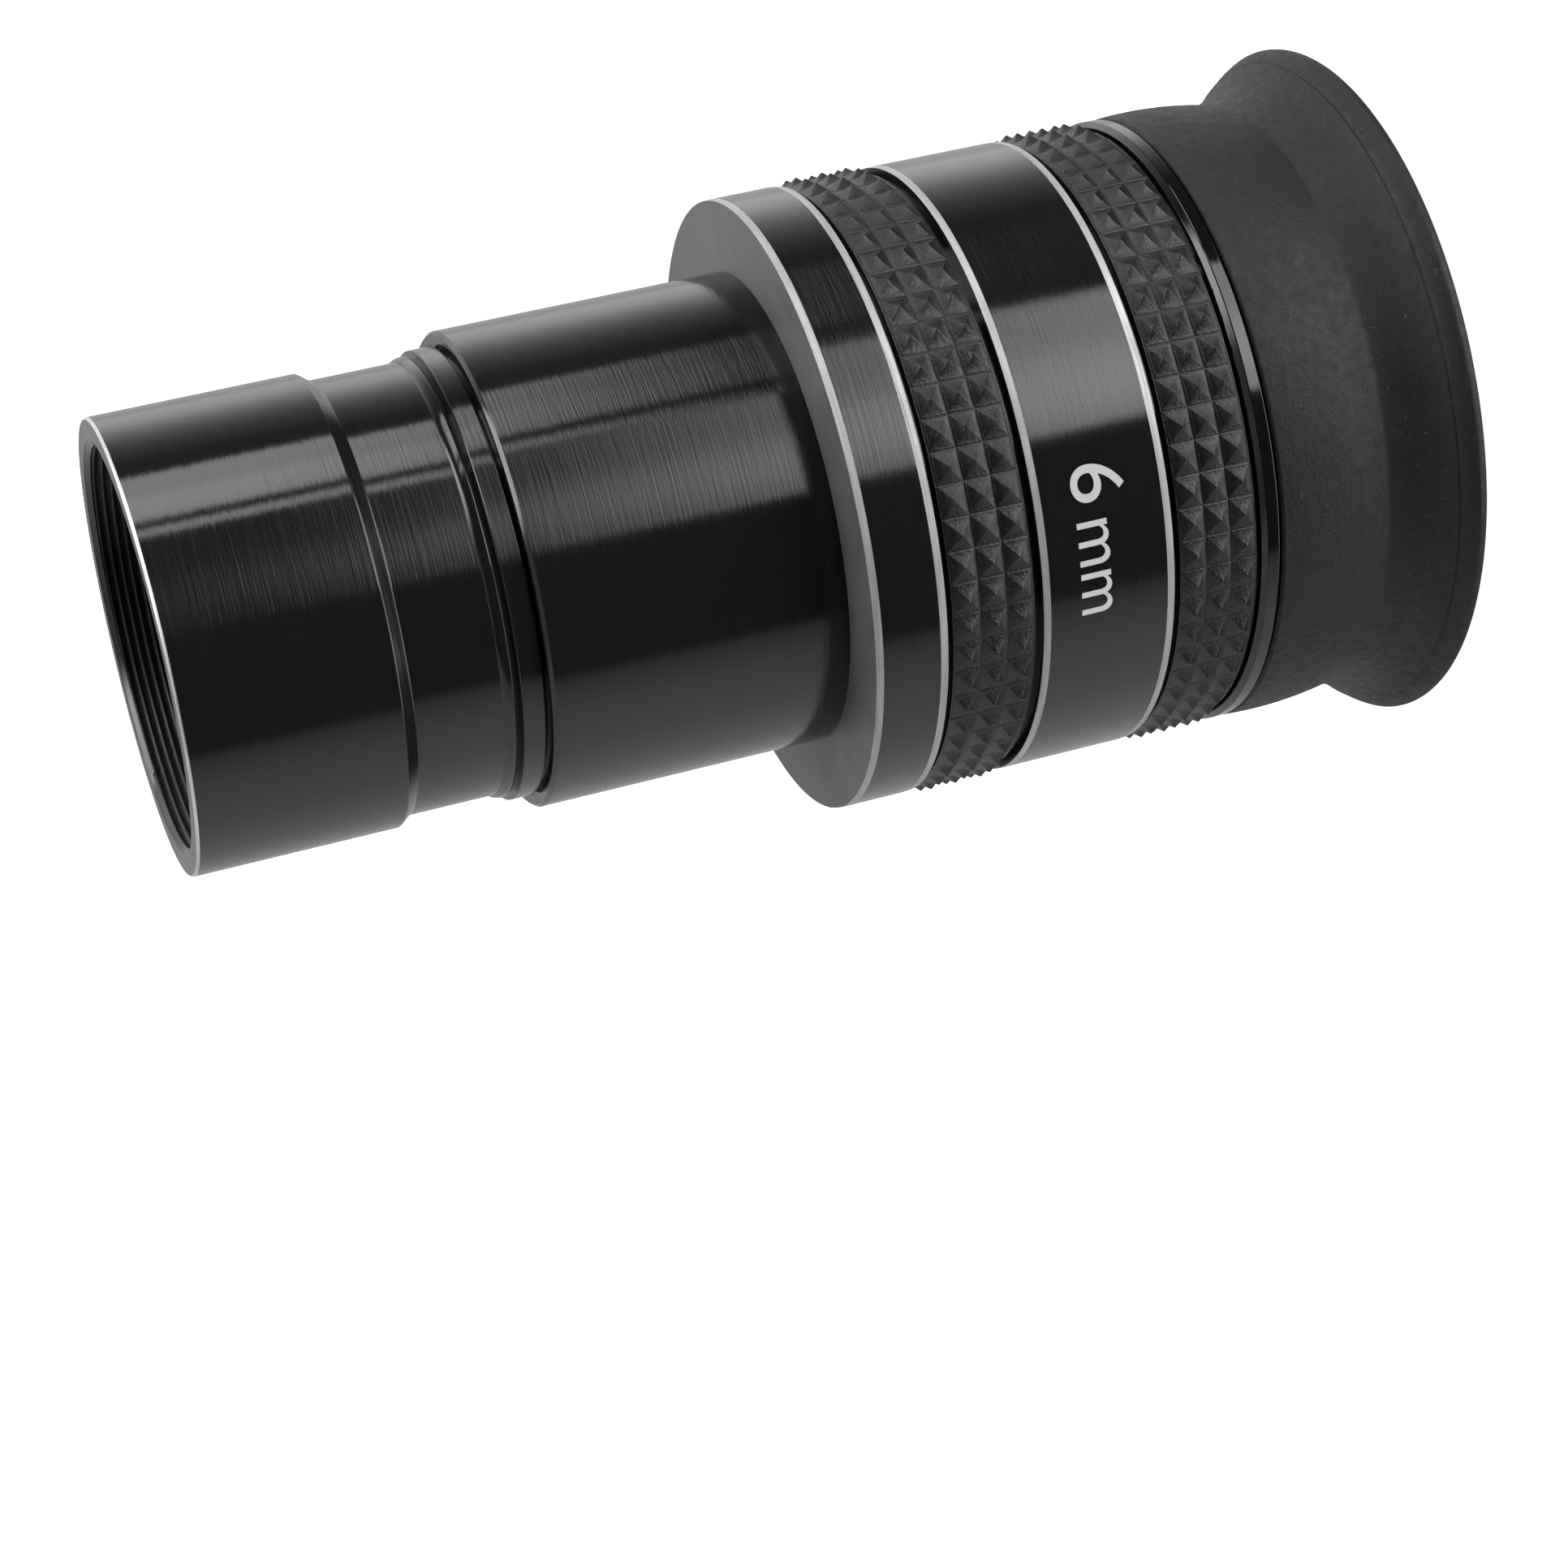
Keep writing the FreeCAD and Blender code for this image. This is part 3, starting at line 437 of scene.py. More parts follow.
def make_barrel():
    thread_top = barrel.top - THREAD_LEAD_IN
    thread_bottom = thread_top - THREAD_LENGTH
    rim_bottom = barrel.top - NOSE_LAND - UNDERCUT_TAPER - UNDERCUT_FLOOR - BARREL_RIM_RISE - BARREL_RIM
    rim_top = rim_bottom + BARREL_RIM
    floor_bottom = rim_top + BARREL_RIM_RISE
    floor_top = floor_bottom + UNDERCUT_FLOOR
    taper_top = floor_top + UNDERCUT_TAPER

    def threaded(radius, height, angle):
        if abs(radius - CREST) > EDGE or not thread_bottom <= height <= thread_top:
            return radius
        fade = min(1.0, (height - thread_bottom) / THREAD_PITCH)
        phase = height / THREAD_PITCH - angle / ROUND
        return radius + THREAD_DEPTH * fade * thread_depth_at(phase)

    rows = int(THREAD_LENGTH / THREAD_PITCH * THREAD_ROWS)
    thread = [(CREST, thread_bottom + THREAD_LENGTH * row / rows) for row in range(rows + 1)]
    outside = rounded([
        (CREST + THREAD_DEPTH + EDGE, barrel.top, EDGE),
        (barrel.radius - NOSE_CHAMFER_IN, barrel.top, 0.02),
        (barrel.radius, barrel.top - NOSE_CHAMFER_DOWN, 0.02),
        (barrel.radius, taper_top, 0.25),
        (UNDERCUT_RADIUS, floor_top, 0.2),
        (UNDERCUT_RADIUS, floor_bottom, 0),
    ])
    lip = (UNDERCUT_RADIUS + LIP_OUT, rim_top + LIP_RISE)
    groove = (RIM_GROOVE, rim_top + RIM_GROOVE_RISE)
    shoulder = bowed((UNDERCUT_RADIUS, floor_bottom), lip, bow=0.06, steps=8)
    shoulder += [(lip[0], lip[1] - LIP_WALL), groove]
    shoulder += bowed(groove, (BARREL_RIM_RADIUS - BARREL_RIM_ROUND, rim_top), bow=-0.02, steps=6)
    rest = rounded([
        (BARREL_RIM_RADIUS, rim_top - EDGE, 0),
        (BARREL_RIM_RADIUS, rim_bottom, BARREL_RIM_ROUND),
        (UNDERCUT_RADIUS, rim_bottom, 0),
        (UNDERCUT_RADIUS, tube.top, 0),
        (SPIGOT_RADIUS, tube.top, 0),
        (SPIGOT_RADIUS, barrel.bottom, EDGE),
        (BARREL_THROAT, barrel.bottom, EDGE),
        (BARREL_THROAT, BORE_FLOOR, EDGE),
        (BARREL_BORE, BORE_FLOOR, 0),
        (BARREL_BORE, thread_bottom - EDGE, EDGE),
    ])
    outline = outside[:-1] + [(UNDERCUT_RADIUS, floor_bottom)] + shoulder + rest + thread
    on_outside, on_inside, on_end, on_edge = range(4)

    def finish_of(first, second):
        lower = min(first[1], second[1])
        inner, outer = sorted((first[0], second[0]))
        if lower > barrel.top - BRIGHT_EDGE_DOWN and inner > barrel.radius - BRIGHT_EDGE_IN:
            return on_edge
        # The nose's end face takes the end-face material, whose grey base colour is painted sheen.
        if lower > barrel.top - EDGE:
            return on_end
        return on_inside if outer < CREST + THREAD_DEPTH else on_outside

    piece = lathe("nose_barrel_turned", outline, shape=threaded, finish_of=finish_of)
    stand_for(piece, "nose_barrel", "black_anodised", black, inner_black, faced_with_painted_sheen, cut_edge)


# ------------------------------------------------------------------ extension tube

TUBE_CHAMFER = 0.25
TUBE_RAISED = 0.2     # the turned end stands this far above the CAD tube
TUBE_BORE = 12.6
TUBE_SPIGOT = 14.0
SHOULDER_LAND = 15.85
SHOULDER_RELIEF = 0.1


def make_tube():
    end = tube.top + TUBE_RAISED
    outline = rounded([
        (SPIGOT_RADIUS, end - SHOULDER_RELIEF, 0),
        (SHOULDER_LAND, end - SHOULDER_RELIEF, 0),
        (SHOULDER_LAND, end, 0),
        (tube.radius - TUBE_CHAMFER, end, 0.02),
        (tube.radius, end - TUBE_CHAMFER, 0.02),
        (tube.radius, housing.top, 0.05),
        (TUBE_SPIGOT, housing.top, 0),
        (TUBE_SPIGOT, tube.bottom, EDGE),
        (TUBE_BORE, tube.bottom, EDGE),
        (TUBE_BORE, barrel.bottom, EDGE),
        (SPIGOT_RADIUS, barrel.bottom, 0),
    ])
    on_outside, on_inside = range(2)

    def finish_of(first, second):
        return on_inside if max(first[0], second[0]) <= SPIGOT_RADIUS else on_outside

    piece = lathe("extension_tube_turned", outline, finish_of=finish_of)
    stand_for(piece, "extension_tube", "black_anodised", black, inner_black)


# ------------------------------------------------------------------ housing

NECK_TOP = 22.33     # where the neck meets the label band
NECK_RADIUS = 18.0
BARE_DEPTH = 0.04    # the bare bands lie this much below the black
BARE_HEIGHT = 0.52
BARE_SHIFT = 0.02    # the sloping edges of the two bands beside the grip lie this much nearer the nose
CRISP = 0.03         # the rounding of a band's edge
NEAR = 0.01          # slack in comparing radii and heights
GRIP_GAP = 0.45
GRIP_SEAT = 20.9
CELL_BORE = 15.2
CELL_SEAT = 35.2
STOP_BORE = 13.0
SLOT_FLOOR = 16.9
SLOT_HALF_WIDTH = 1.2
SLOT_COUNT = 3
SLOT_LEAD = 24.0     # the rise over one whole turn
SLOT_TOP = 19.0
SLOT_TURN = math.radians(120)
SLOT_OVERRUN = math.radians(4)
SLOT_STEPS = 48


def make_housing():
    narrow = housing.radius - BARE_DEPTH
    groove_bottom = lower_grip.bottom - GRIP_GAP
    groove_top = lower_grip.top + GRIP_GAP
    bare_bands = [
        (NECK_TOP, NECK_TOP + BARE_HEIGHT),
        (groove_bottom - BARE_HEIGHT + BARE_SHIFT, groove_bottom),
        (groove_top, groove_top + BARE_HEIGHT + BARE_SHIFT),
        (housing.top - BARE_HEIGHT, housing.top),
    ]
    outline = rounded([
        (CELL_BORE, housing.bottom, EDGE),
        (NECK_RADIUS, housing.bottom, 0.3),
        (NECK_RADIUS, NECK_TOP, 0),
        (narrow, NECK_TOP, CRISP),
        (housing.radius, bare_bands[0][1], 0),
        (housing.radius, bare_bands[1][0], 0),
        (narrow, groove_bottom, CRISP),
        (GRIP_SEAT, groove_bottom, 0),
        (GRIP_SEAT, groove_top, 0),
        (narrow, groove_top, CRISP),
        (housing.radius, bare_bands[2][1], 0),
        (housing.radius, bare_bands[3][0], 0),
        (narrow, housing.top, CRISP),
        (TUBE_SPIGOT, housing.top, 0),
        (TUBE_SPIGOT, tube.bottom, 0),
        (STOP_BORE, tube.bottom, 0),
        (STOP_BORE, CELL_SEAT, 0),
        (CELL_BORE, CELL_SEAT, 0),
    ])
    on_outside, on_band, on_end, on_inside = range(4)

    def finish_of(first, second):
        level = (first[1] + second[1]) / 2
        inner, outer = sorted((first[0], second[0]))
        # The flange face takes the end-face material, whose grey base colour is painted sheen.
        if level > housing.top - CRISP and outer < narrow - CRISP / 2:
            return on_end
        if inner > narrow - CRISP and any(low - NEAR < level < high + NEAR for low, high in bare_bands):
            return on_band
        return on_inside if outer <= CELL_BORE + NEAR else on_outside

    piece = lathe("main_housing_turned", outline, finish_of=finish_of)
    for index in range(SLOT_COUNT):
        cut_away(piece, slot_cutter(ROUND * index / SLOT_COUNT))
    stand_for(piece, "main_housing", "housing_anodised", black, bare, faced_with_painted_sheen, inner_black)


def slot_cutter(start):
    """The bar that a guide pin's helical slot takes out of the neck, from its upper end down."""
    turn = SLOT_TURN + 2 * SLOT_OVERRUN
    outer = NECK_RADIUS + 1
    points, faces = [], []
    for step in range(SLOT_STEPS + 1):
        swept = turn * step / SLOT_STEPS - SLOT_OVERRUN
        height = SLOT_TOP - SLOT_LEAD * swept / ROUND
        for radius, rise in ((SLOT_FLOOR, -1), (outer, -1), (outer, 1), (SLOT_FLOOR, 1)):
            points.append(on_ring(radius, start - swept, height + rise * SLOT_HALF_WIDTH))
        if step:
            here, there = 4 * (step - 1), 4 * step
            faces += [(here + side, there + side, there + (side + 1) % 4, here + (side + 1) % 4)
                      for side in range(4)]
    last = 4 * SLOT_STEPS
    faces += [(0, 1, 2, 3), (last + 3, last + 2, last + 1, last)]
    return shown("slot_cutter", mesh_from("slot_cutter", points, faces))


def cut_away(piece, cutter):
    """Take the cutter out of the piece, and apply it."""
    cut = piece.modifiers.new("cut", "BOOLEAN")
    cut.operation = "DIFFERENCE"
    cut.solver = "EXACT"
    cut.object = cutter
    scene_now = bpy.context.evaluated_depsgraph_get()
    whole = bpy.data.meshes.new_from_object(piece.evaluated_get(scene_now))
    piece.modifiers.remove(cut)
    piece.data = whole
    bpy.data.objects.remove(cutter)
    whole.set_sharp_from_angle(angle=SHARP_ANGLE)


# ------------------------------------------------------------------ twist sleeve

SLEEVE_BORE = 18.08
SLEEVE_TAIL = 20.2
SLEEVE_GROOVE = 20.9
TRIM_GAP = 0.25      # between the glossy trim ring and the rubber on either side
TRIM_CHAMFER = 0.35
DAMPING_GROOVE = Span(9.2, 10.6, 19.4)


def make_sleeve():
    trim_bottom = cup.top + TRIM_GAP
    trim_top = upper_grip.bottom - TRIM_GAP
    outline = rounded([
        (SLEEVE_BORE, sleeve.bottom, EDGE),
        (SLEEVE_TAIL, sleeve.bottom, 0.2),
        (SLEEVE_TAIL, cup.top, 0),
        (SLEEVE_GROOVE, cup.top, EDGE),
        (SLEEVE_GROOVE, trim_bottom, 0),
        (sleeve.radius, trim_bottom, 0.08),
        (sleeve.radius, trim_top - TRIM_CHAMFER, 0.12),
        (sleeve.radius - TRIM_CHAMFER, trim_top, 0.05),
        (GRIP_SEAT, trim_top, 0),
        (GRIP_SEAT, sleeve.top, EDGE),
        (SLEEVE_BORE, sleeve.top, EDGE),
        (SLEEVE_BORE, DAMPING_GROOVE.top, 0),
        (DAMPING_GROOVE.radius, DAMPING_GROOVE.top, 0),
        (DAMPING_GROOVE.radius, DAMPING_GROOVE.bottom, 0),
        (SLEEVE_BORE, DAMPING_GROOVE.bottom, 0),
    ])
    piece = lathe("twist_sleeve_turned", outline)
    stand_for(piece, "twist_sleeve", "gloss_black_anodised", gloss)


# ------------------------------------------------------------------ size marking

MARK_BASE = 29.1     # height of the letters' feet, which point to the nose
MARK_LIFT = 0.012    # the ink stands this far off the band
MARK_STRIP = 0.35    # the widest strip of ink that is left flat on the round band
MARK_CURVE_STEPS = 8


def printed(name, text, first_degree, size, stretch):
    """Printed characters wrapped round the label band. They read away from the first angle, with their
    heads towards the eyecup. stretch is how much wider than drawn they are."""
    curve = bpy.data.curves.new(name, "FONT")
    curve.body = text
    curve.size = size
    curve.resolution_u = MARK_CURVE_STEPS
    holder = bpy.data.objects.new(name + "_flat", curve)
    bpy.context.scene.collection.objects.link(holder)
    scene_now = bpy.context.evaluated_depsgraph_get()
    mesh = bpy.data.meshes.new_from_object(holder.evaluated_get(scene_now))
    bpy.data.objects.remove(holder)
    work = bmesh.new()
    work.from_mesh(mesh)
    left = min(vertex.co.x for vertex in work.verts)
    right = max(vertex.co.x for vertex in work.verts)
    strip = MARK_STRIP / stretch
    for number in range(1, int((right - left) / strip) + 1):
        parts = work.verts[:] + work.edges[:] + work.faces[:]
        bmesh.ops.bisect_plane(work, geom=parts, plane_co=(left + number * strip, 0, 0), plane_no=(1, 0, 0))
    radius = housing.radius + MARK_LIFT
    for vertex in work.verts:
        angle = math.radians(first_degree) - (vertex.co.x - left) * stretch / radius
        height = MARK_BASE - vertex.co.y
        vertex.co = Vector((radius * math.sin(angle), -radius * math.cos(angle), height)) * MM
    bmesh.ops.triangulate(work, faces=work.faces)
    work.to_mesh(mesh)
    work.free()
    piece = bpy.data.objects.new(name, mesh)
    bpy.context.scene.collection.objects.link(piece)
    piece.data.materials.clear()
    piece.data.materials.append(ink)
    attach(piece, "housing")


# ------------------------------------------------------------------ rubber grips

GRIP_BORE = 20.92
GRIP_VALLEY = 21.45
GRIP_EDGE = 21.2
GRIP_EDGE_IN = 0.06
GRIP_EDGE_RISE = 0.05
GRIP_BORDER = 0.14
GRIP_GROOVE = 0.07
PYRAMIDS_ROUND = 60
PYRAMID_ROWS = 3
# Each pyramid from its groove to its tip: (share of the half width, share of the height)
PYRAMID_STEPS = [(0.91, 0.0), (0.82, 0.02), (0.56, 0.24), (0.3, 0.55), (0.1, 0.87)]
PYRAMID_SHORT = 0.03     # the tallest tip stays this far inside the CAD band
UNEVEN_HEIGHT = 0.07
UNEVEN_LEAN = 0.05
LEAN_OFFSET = 7          # keeps the lean along the axis apart from the lean round it
PYRAMID_ROUNDING = 0.03
CREASE_ANGLE = math.radians(22)


def uneven(column, row, spread):
    """A small fixed unevenness for each pyramid, as a mould leaves. The factors are arbitrary."""
    return spread * math.sin(column * 12.9898 + row * 78.233) * math.cos(column * 3.17 - row * 5.71)


def add_pyramid(points, faces, corners, middle, cell, tall, lean):
    """Raise a pyramid from four corner points. middle, cell and lean are pairs: round the ring and
    along the axis."""
    angle, height = middle
    for wide, rise in PYRAMID_STEPS:
        inner = []
        for across, along in ((-1, -1), (1, -1), (1, 1), (-1, 1)):
            turned = angle + (across * wide / 2 + lean[0] * rise) * cell[0]
            level = height + (along * wide / 2 + lean[1] * rise) * cell[1]
            inner.append(len(points))
            points.append(on_ring(GRIP_VALLEY + tall * rise, turned, level))
        faces += [(corners[k], corners[(k + 1) % 4], inner[(k + 1) % 4], inner[k]) for k in range(4)]
        corners = tuple(inner)
    points.append(on_ring(GRIP_VALLEY + tall, angle + lean[0] * cell[0], height + lean[1] * cell[1]))
    faces += [(corners[k], corners[(k + 1) % 4], len(points) - 1) for k in range(4)]


def make_grip(node, name, turn):
    """A rubber band with rows of pyramids, whose valleys lie at turn degrees from the camera's side."""
    ring = span(node)
    low, high = ring.bottom + GRIP_BORDER, ring.top - GRIP_BORDER
    cell = (high - low) / PYRAMID_ROWS
    start = math.radians(turn - 90)
    step = ROUND / PYRAMIDS_ROUND
    edge = [(GRIP_BORE, ring.bottom), (GRIP_EDGE, ring.bottom),
            (GRIP_VALLEY - GRIP_EDGE_IN, ring.bottom + GRIP_EDGE_RISE)]
    rings = edge + [(GRIP_VALLEY - GRIP_GROOVE, low + cell * row) for row in range(PYRAMID_ROWS + 1)]
    rings += [(radius, ring.bottom + ring.top - height) for radius, height in reversed(edge)]
    count = len(rings)
    points, faces = [], []
    for column in range(PYRAMIDS_ROUND):
        points += [on_ring(radius, start + column * step, height) for radius, height in rings]
    for column in range(PYRAMIDS_ROUND):
        here, there = column * count, (column + 1) % PYRAMIDS_ROUND * count
        for row in range(count):
            following = (row + 1) % count
            corners = (here + row, there + row, there + following, here + following)
            field_row = row - len(edge)
            if not 0 <= field_row < PYRAMID_ROWS:
                faces.append(corners)
                continue
            middle = start + (column + 0.5) * step, low + cell * (field_row + 0.5)
            tall = ring.radius - PYRAMID_SHORT - abs(uneven(field_row, column, UNEVEN_HEIGHT)) - GRIP_VALLEY
            lean = (uneven(column, field_row, UNEVEN_LEAN),
                    uneven(column + LEAN_OFFSET, field_row, UNEVEN_LEAN))
            add_pyramid(points, faces, corners, middle, (step, cell), tall, lean)
    mesh = mesh_from(name, points, faces)
    work = bmesh.new()
    work.from_mesh(mesh)
    bmesh.ops.recalc_face_normals(work, faces=work.faces)
    creases = [line for line in work.edges if line.calc_face_angle(0) > CREASE_ANGLE]
    bmesh.ops.bevel(work, geom=creases, offset=PYRAMID_ROUNDING * MM, segments=2, profile=0.5,
                    affect="EDGES", clamp_overlap=True)
    work.to_mesh(mesh)
    work.free()
    stand_for(shown(name, mesh), node, "grip_rubber", grip_rubber)


# ------------------------------------------------------------------ rubber eyecup

CUP_SKIRT = 20.24
CUP_TOP_EDGE = 21.62
CUP_SHOULDER = 21.85
CUP_SHOULDER_DROP = 0.2
CUP_WAIST = (21.32, 6.15)
CUP_FLARE_END = (23.5, 2.05)
CUP_NOTCH = [(23.46, 1.96), (23.47, 1.88), (23.64, 1.78)]
CUP_LIP_HEIGHT = 0.8
CUP_LIP_FOOT = (23.7, 0.02)
CUP_RIM = [(23.5, 0.0), (23.2, 0.0)]     # the flat that it stands on
CUP_RIBS = 5
CUP_RIB_INNER = 17.5
CUP_RIB_OUTER = 22.3
CUP_RIB_START = 0.15
CUP_FLOOR_TOP = 6.95
CUP_FLOOR_BOTTOM = 5.4
CUP_HOLE = 14.1
CUP_HOLE_ROUND = 0.25


def ribbed_wall():
    """The stepped inside of the flare, from the lip down to the floor: each rib is a small round."""
    top = Vector((CUP_RIB_OUTER, CUP_LIP_HEIGHT + CUP_RIB_START))
    bottom = Vector((CUP_RIB_INNER, CUP_FLOOR_BOTTOM))
    points = []
    for rib in range(CUP_RIBS):
        start = top.lerp(bottom, rib / CUP_RIBS)
        finish = top.lerp(bottom, (rib + 1) / CUP_RIBS)
        points += bowed(start, finish, bow=-0.28, steps=8)
    return [tuple(top)] + points


def make_cup():
    shoulder = (CUP_SHOULDER, cup.top - CUP_SHOULDER_DROP)
    widest = (cup.radius, CUP_LIP_HEIGHT)
    first_rib = (CUP_RIB_OUTER, CUP_LIP_HEIGHT + CUP_RIB_START)
    outside = [(CUP_SKIRT, cup.top), (CUP_TOP_EDGE, cup.top), shoulder]
    outside += bowed(shoulder, CUP_WAIST, bow=0.3, steps=20)
    outside += bowed(CUP_WAIST, CUP_FLARE_END, bow=-0.36, steps=18)
    outside += CUP_NOTCH
    outside += bowed(CUP_NOTCH[-1], widest, bow=0.05, steps=5)
    outside += bowed(widest, CUP_LIP_FOOT, bow=0.2, steps=8)
    outside += CUP_RIM
    outside += bowed(CUP_RIM[-1], first_rib, bow=0.12, steps=8)[:-1]
    floor = rounded([
        (CUP_RIB_INNER, CUP_FLOOR_BOTTOM, 0),
        (CUP_HOLE, CUP_FLOOR_BOTTOM, CUP_HOLE_ROUND),
        (CUP_HOLE, CUP_FLOOR_TOP, CUP_HOLE_ROUND),
        (CUP_SKIRT, CUP_FLOOR_TOP, 0),
    ])
    piece = lathe("rubber_eyecup_moulded", outside + ribbed_wall()[:-1] + floor)
    stand_for(piece, "rubber_eyecup", "eyecup_rubber", cup_rubber)


# ------------------------------------------------------------------ glass

LENS_STEPS = 24


def make_lens(node, name, low_bow, high_bow, low_edge, high_edge, glass):
    """A lens between two edge heights: each bow is how far the face's middle stands out of its edge."""
    ring = span(node)

    def face(edge, bow):
        radii = [ring.radius * step / LENS_STEPS for step in range(LENS_STEPS + 1)]
        return [(radius, edge + bow * (1 - (radius / ring.radius) ** 2)) for radius in radii]

    low = face(low_edge, -low_bow)
    high = face(high_edge, high_bow)[::-1]
    stand_for(solid_lens(name, low + high), node, "coated_glass", glass)


# ------------------------------------------------------------------ build

make_barrel()
make_tube()
make_housing()
make_sleeve()
make_grip("lower_grip_ring", "lower_grip_moulded", turn=2.9)
make_grip("upper_grip_ring", "upper_grip_moulded", turn=1.0)
make_cup()
printed("marking_length", "6", first_degree=-4.9, size=5.4, stretch=1.12)
printed("marking_unit", "mm", first_degree=-14.9, size=4.8, stretch=0.98)
make_lens("eye_lens", "eye_lens_polished",
          low_bow=0.7, high_bow=1.5, low_edge=14.9, high_edge=17.4, glass=eye_glass)
make_lens("smyth_front_lens", "smyth_front_lens_polished",
          low_bow=-0.5, high_bow=-0.5, low_edge=72.4, high_edge=75.1, glass=inner_glass)

FINISHES = {
    "black_anodised": black,
    "housing_anodised": black,
    "gloss_black_anodised": gloss,
    "inner_black": inner_black,
    "grip_rubber": grip_rubber,
    "eyecup_rubber": cup_rubber,
    "seal_rubber": seal_rubber,
    "coated_glass": inner_glass,
    "steel": steel,
}
for row in frame["record"]["subparts"]:
    node = frame["nodes"][row["node"]]
    node.data.materials.clear()
    node.data.materials.append(FINISHES[row["material_slot"]])


# ------------------------------------------------------------------ floor, light and camera

FLOOR_RADIUS_M = 40.0
FLOOR_DROP_M = 0.00002   # keeps the floor's surface just clear of the eyecup's rim


def make_floor():
    """A plain white floor that moves with the eyecup that stands on it."""
    bpy.ops.mesh.primitive_circle_add(
        vertices=64, radius=FLOOR_RADIUS_M, fill_type="NGON", location=(0, 0, -FLOOR_DROP_M))
    floor = bpy.context.object
    floor.name = "floor"
    s = Shader("floor_white")
    cloud = s.noise(s.place, 1.5, detail=2.0)
    s.principled({"Base Color": s.mixed(cloud, grey(0.86), grey(0.9)), "Roughness": 0.9,
                  "Emission Color": (1, 1, 1, 1), "Emission Strength": 1.0})
    floor.data.materials.append(s.material)
    floor.visible_glossy = False
    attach(floor, "eyecup")


# The studio's brightness round the horizon, as (degrees from the camera's side towards +X, brightness)
SURROUND = [
    (-180, 0.6), (-145, 0.75), (-125, 0.85), (-80, 0.95), (-70, 0.75), (-62, 0.5), (-57.5, 0.0),
    (89, 0.0), (98, 0.06), (105, 0.3), (111, 0.5), (117, 0.8), (124, 1.3), (135, 1.9), (146, 1.6),
    (153, 0.95), (165, 0.72), (180, 0.6),
]
# The surround lies between these two rises, in degrees, and fades over so many to either side of each
SURROUND_LOW, SURROUND_HIGH, SURROUND_EDGE = -34, 60, 8
OVERHEAD = 0.6           # brightness above the surround
UNDERNEATH = 1.1         # brightness straight below, which only reflections see past the floor
UNDERNEATH_TOP, UNDERNEATH_EDGE = -73, 5
# A soft panel: its sides and how softly they end, its lower and upper end and how softly each ends,
# all in degrees, and its brightness
Softbox = namedtuple("Softbox", "west east edge low high low_edge high_edge level")
SOFTBOXES = [
    Softbox(-80, 68, 14, -80, -36, 4, 6, 3.6),
    Softbox(46, 125, 20, 49, 82, 2.5, 7, 8.0),
    Softbox(3, 53, 1.6, -45, -15.6, 4, 5.6, 4.8),
    Softbox(6, 34, 9, -45, -14.5, 4, 6.5, 1.2),
    Softbox(11, 28, 8, -30, -9.5, 4, 4.5, 0.9),
    Softbox(60.9, 88, 0.8, -12.5, 25, 2.8, 8, 4.7),
    Softbox(61.5, 75, 3.5, -11.5, 25, 2.8, 8, 1.5),
    Softbox(52.4, 56.4, 0.6, -12.5, 25, 2.8, 8, 5.6),
]


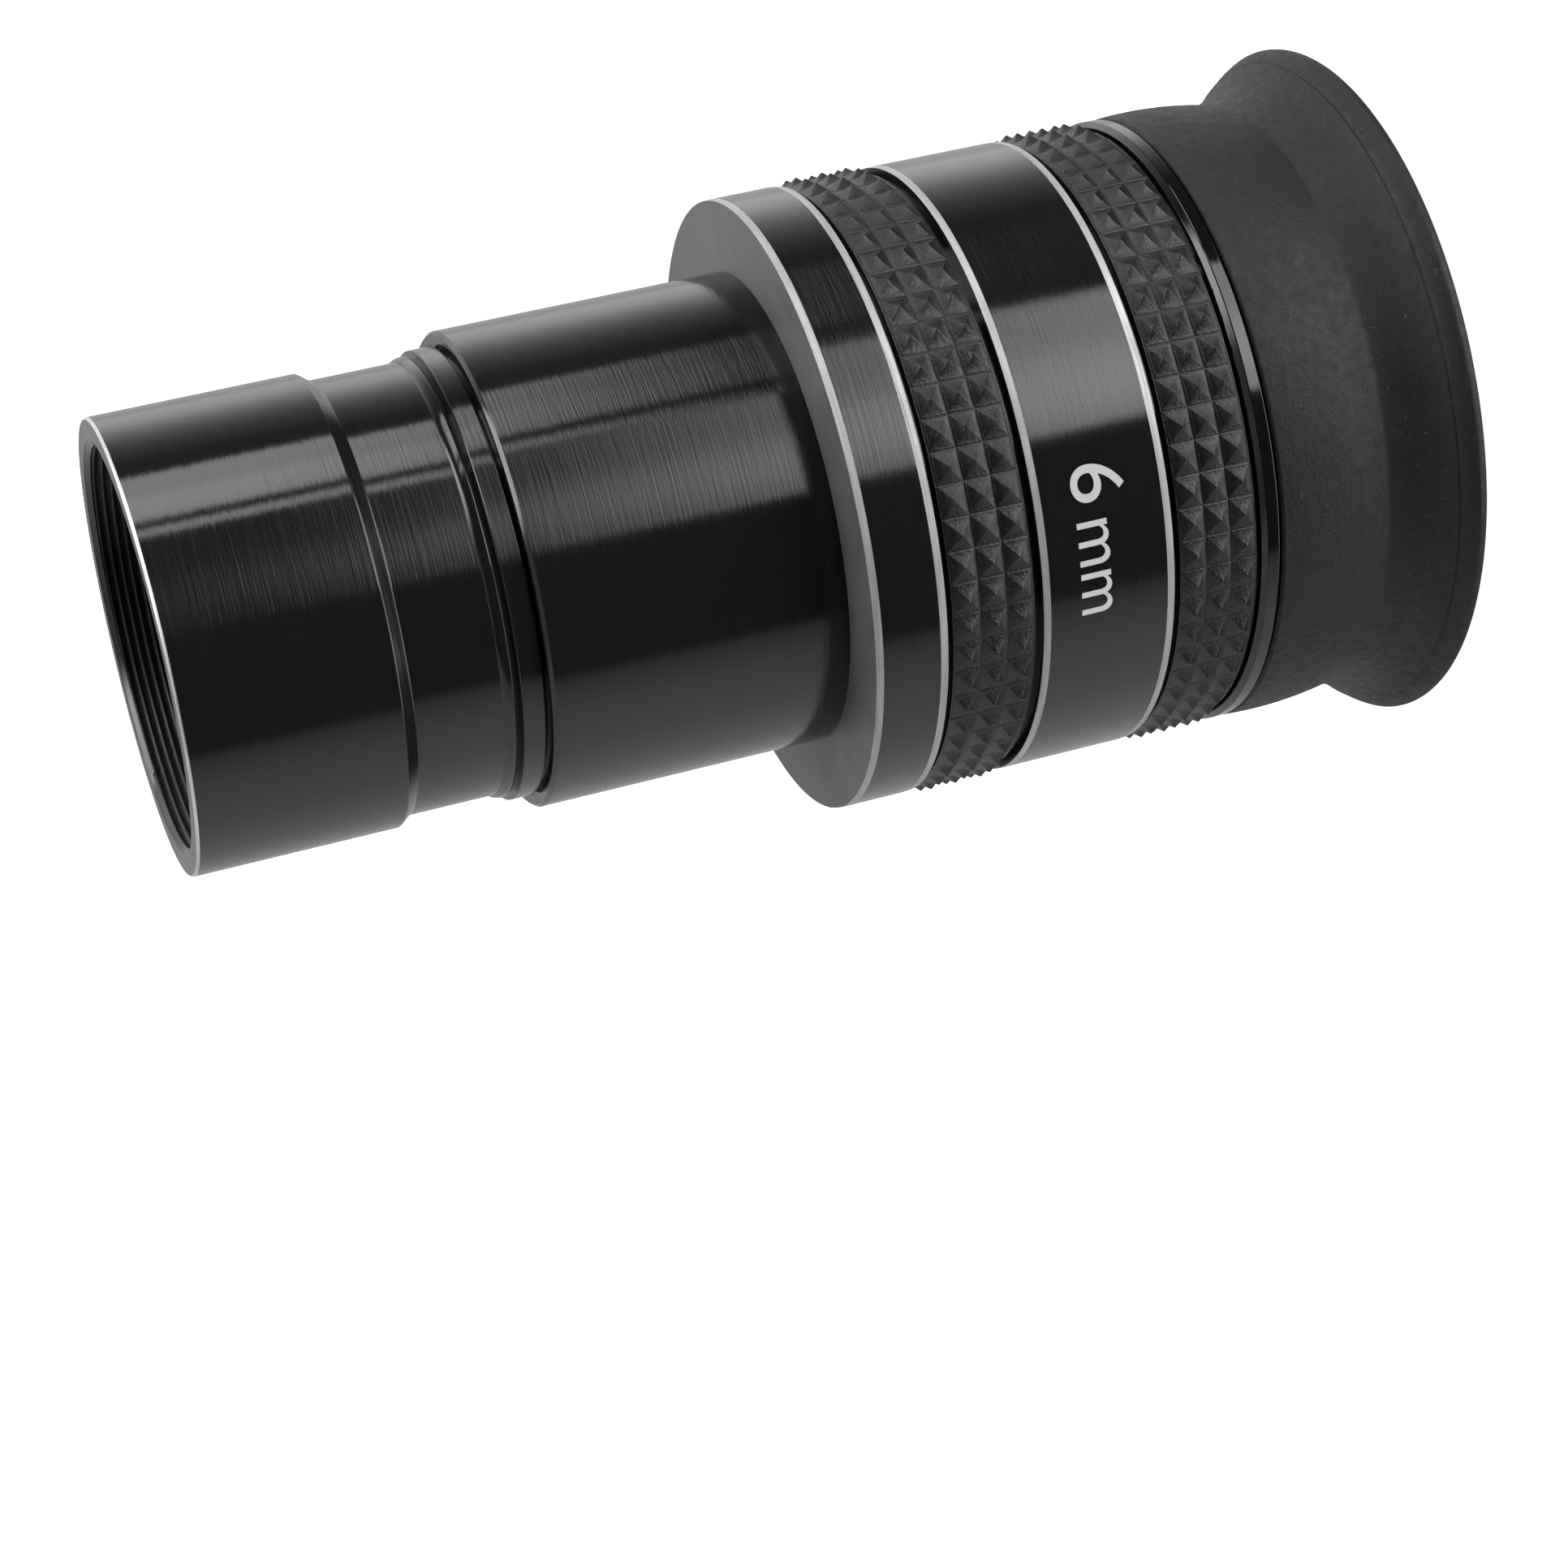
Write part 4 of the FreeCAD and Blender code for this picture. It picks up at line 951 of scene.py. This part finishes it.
def make_light():
    """A studio that is bright behind and beside the object and dark before it, with light from above
    and below, and soft panels added to it."""
    world = bpy.data.worlds.new("studio")
    bpy.context.scene.world = world
    world.use_nodes = True
    g = Graph(world.node_tree)
    background = g.add("ShaderNodeBackground")
    output = g.add("ShaderNodeOutputWorld")
    direction = g.add("ShaderNodeSeparateXYZ")
    g.feed(direction.inputs[0], g.add("ShaderNodeTexCoord").outputs["Generated"])

    def rising(value, middle, half_width):
        """0 to 1 over the middle, smoothly."""
        return g.add("ShaderNodeMapRange", {"interpolation_type": "SMOOTHSTEP"}, Value=value,
                     From_Min=middle - half_width, From_Max=middle + half_width).outputs["Result"]

    def within(value, low, high, low_edge, high_edge):
        falling = g.math("SUBTRACT", 1.0, rising(value, high, high_edge))
        return g.math("MULTIPLY", rising(value, low, low_edge), falling)

    backwards = g.math("MULTIPLY", direction.outputs["Y"], -1.0)
    heading = g.math("DEGREES", g.math("ARCTAN2", direction.outputs["X"], backwards))
    rise = g.math("DEGREES", g.math("ARCSINE", direction.outputs["Z"]))

    ramp = g.add("ShaderNodeValToRGB")
    strongest = max(level for _, level in SURROUND)
    stops = ramp.color_ramp.elements
    while len(stops) > 1:
        stops.remove(stops[-1])
    for index, (degrees, level) in enumerate(SURROUND):
        place = degrees / 360 + 0.5
        stop = stops[0] if index == 0 else stops.new(place)
        stop.position = place
        stop.color = (level / strongest,) * 3 + (1,)
    g.feed(ramp.inputs[0], g.math("ADD", g.math("DIVIDE", heading, 360), 0.5))
    around = g.math("MULTIPLY", ramp.outputs[0], strongest)

    beside = within(rise, SURROUND_LOW, SURROUND_HIGH, SURROUND_EDGE, SURROUND_EDGE)
    above = rising(rise, SURROUND_HIGH, SURROUND_EDGE)
    below = g.math("SUBTRACT", 1.0, rising(rise, UNDERNEATH_TOP, UNDERNEATH_EDGE))
    apart = g.math("ADD", g.math("MULTIPLY", above, OVERHEAD), g.math("MULTIPLY", below, UNDERNEATH))
    light = g.math("ADD", g.math("MULTIPLY", around, beside), apart)
    for box in SOFTBOXES:
        across = within(heading, box.west, box.east, box.edge, box.edge)
        upright = within(rise, box.low, box.high, box.low_edge, box.high_edge)
        panel = g.math("MULTIPLY", g.math("MULTIPLY", across, upright), box.level)
        light = g.math("ADD", light, panel)
    g.feed(background.inputs["Strength"], light)
    g.feed(output.inputs["Surface"], background.outputs[0])


CAMERA_PLACE_M = (0.0, -0.26586, 0.11683)
CAMERA_HEADING = 4.139       # these three in degrees
CAMERA_PITCH = -14.687
CAMERA_ROLL = 103.727
SENSOR_WIDTH = 36.0
FOCAL_LENGTH = 89.88


def make_camera():
    """The camera looks down the eyepiece from beside its nose, rolled so that it lies on its side."""
    camera = bpy.data.cameras.new("camera")
    camera.sensor_width = SENSOR_WIDTH
    camera.lens = FOCAL_LENGTH
    camera.clip_start = 0.01
    camera.clip_end = 100.0
    holder = bpy.data.objects.new("camera", camera)
    bpy.context.scene.collection.objects.link(holder)
    turn = (
        Matrix.Rotation(math.radians(CAMERA_HEADING), 4, "Z")
        @ Matrix.Rotation(math.pi / 2 + math.radians(CAMERA_PITCH), 4, "X")
        @ Matrix.Rotation(-math.radians(CAMERA_ROLL), 4, "Z")
    )
    holder.matrix_world = Matrix.Translation(CAMERA_PLACE_M) @ turn
    bpy.context.scene.camera = holder


make_floor()
make_light()
make_camera()
bpy.context.scene.view_settings.view_transform = "Standard"
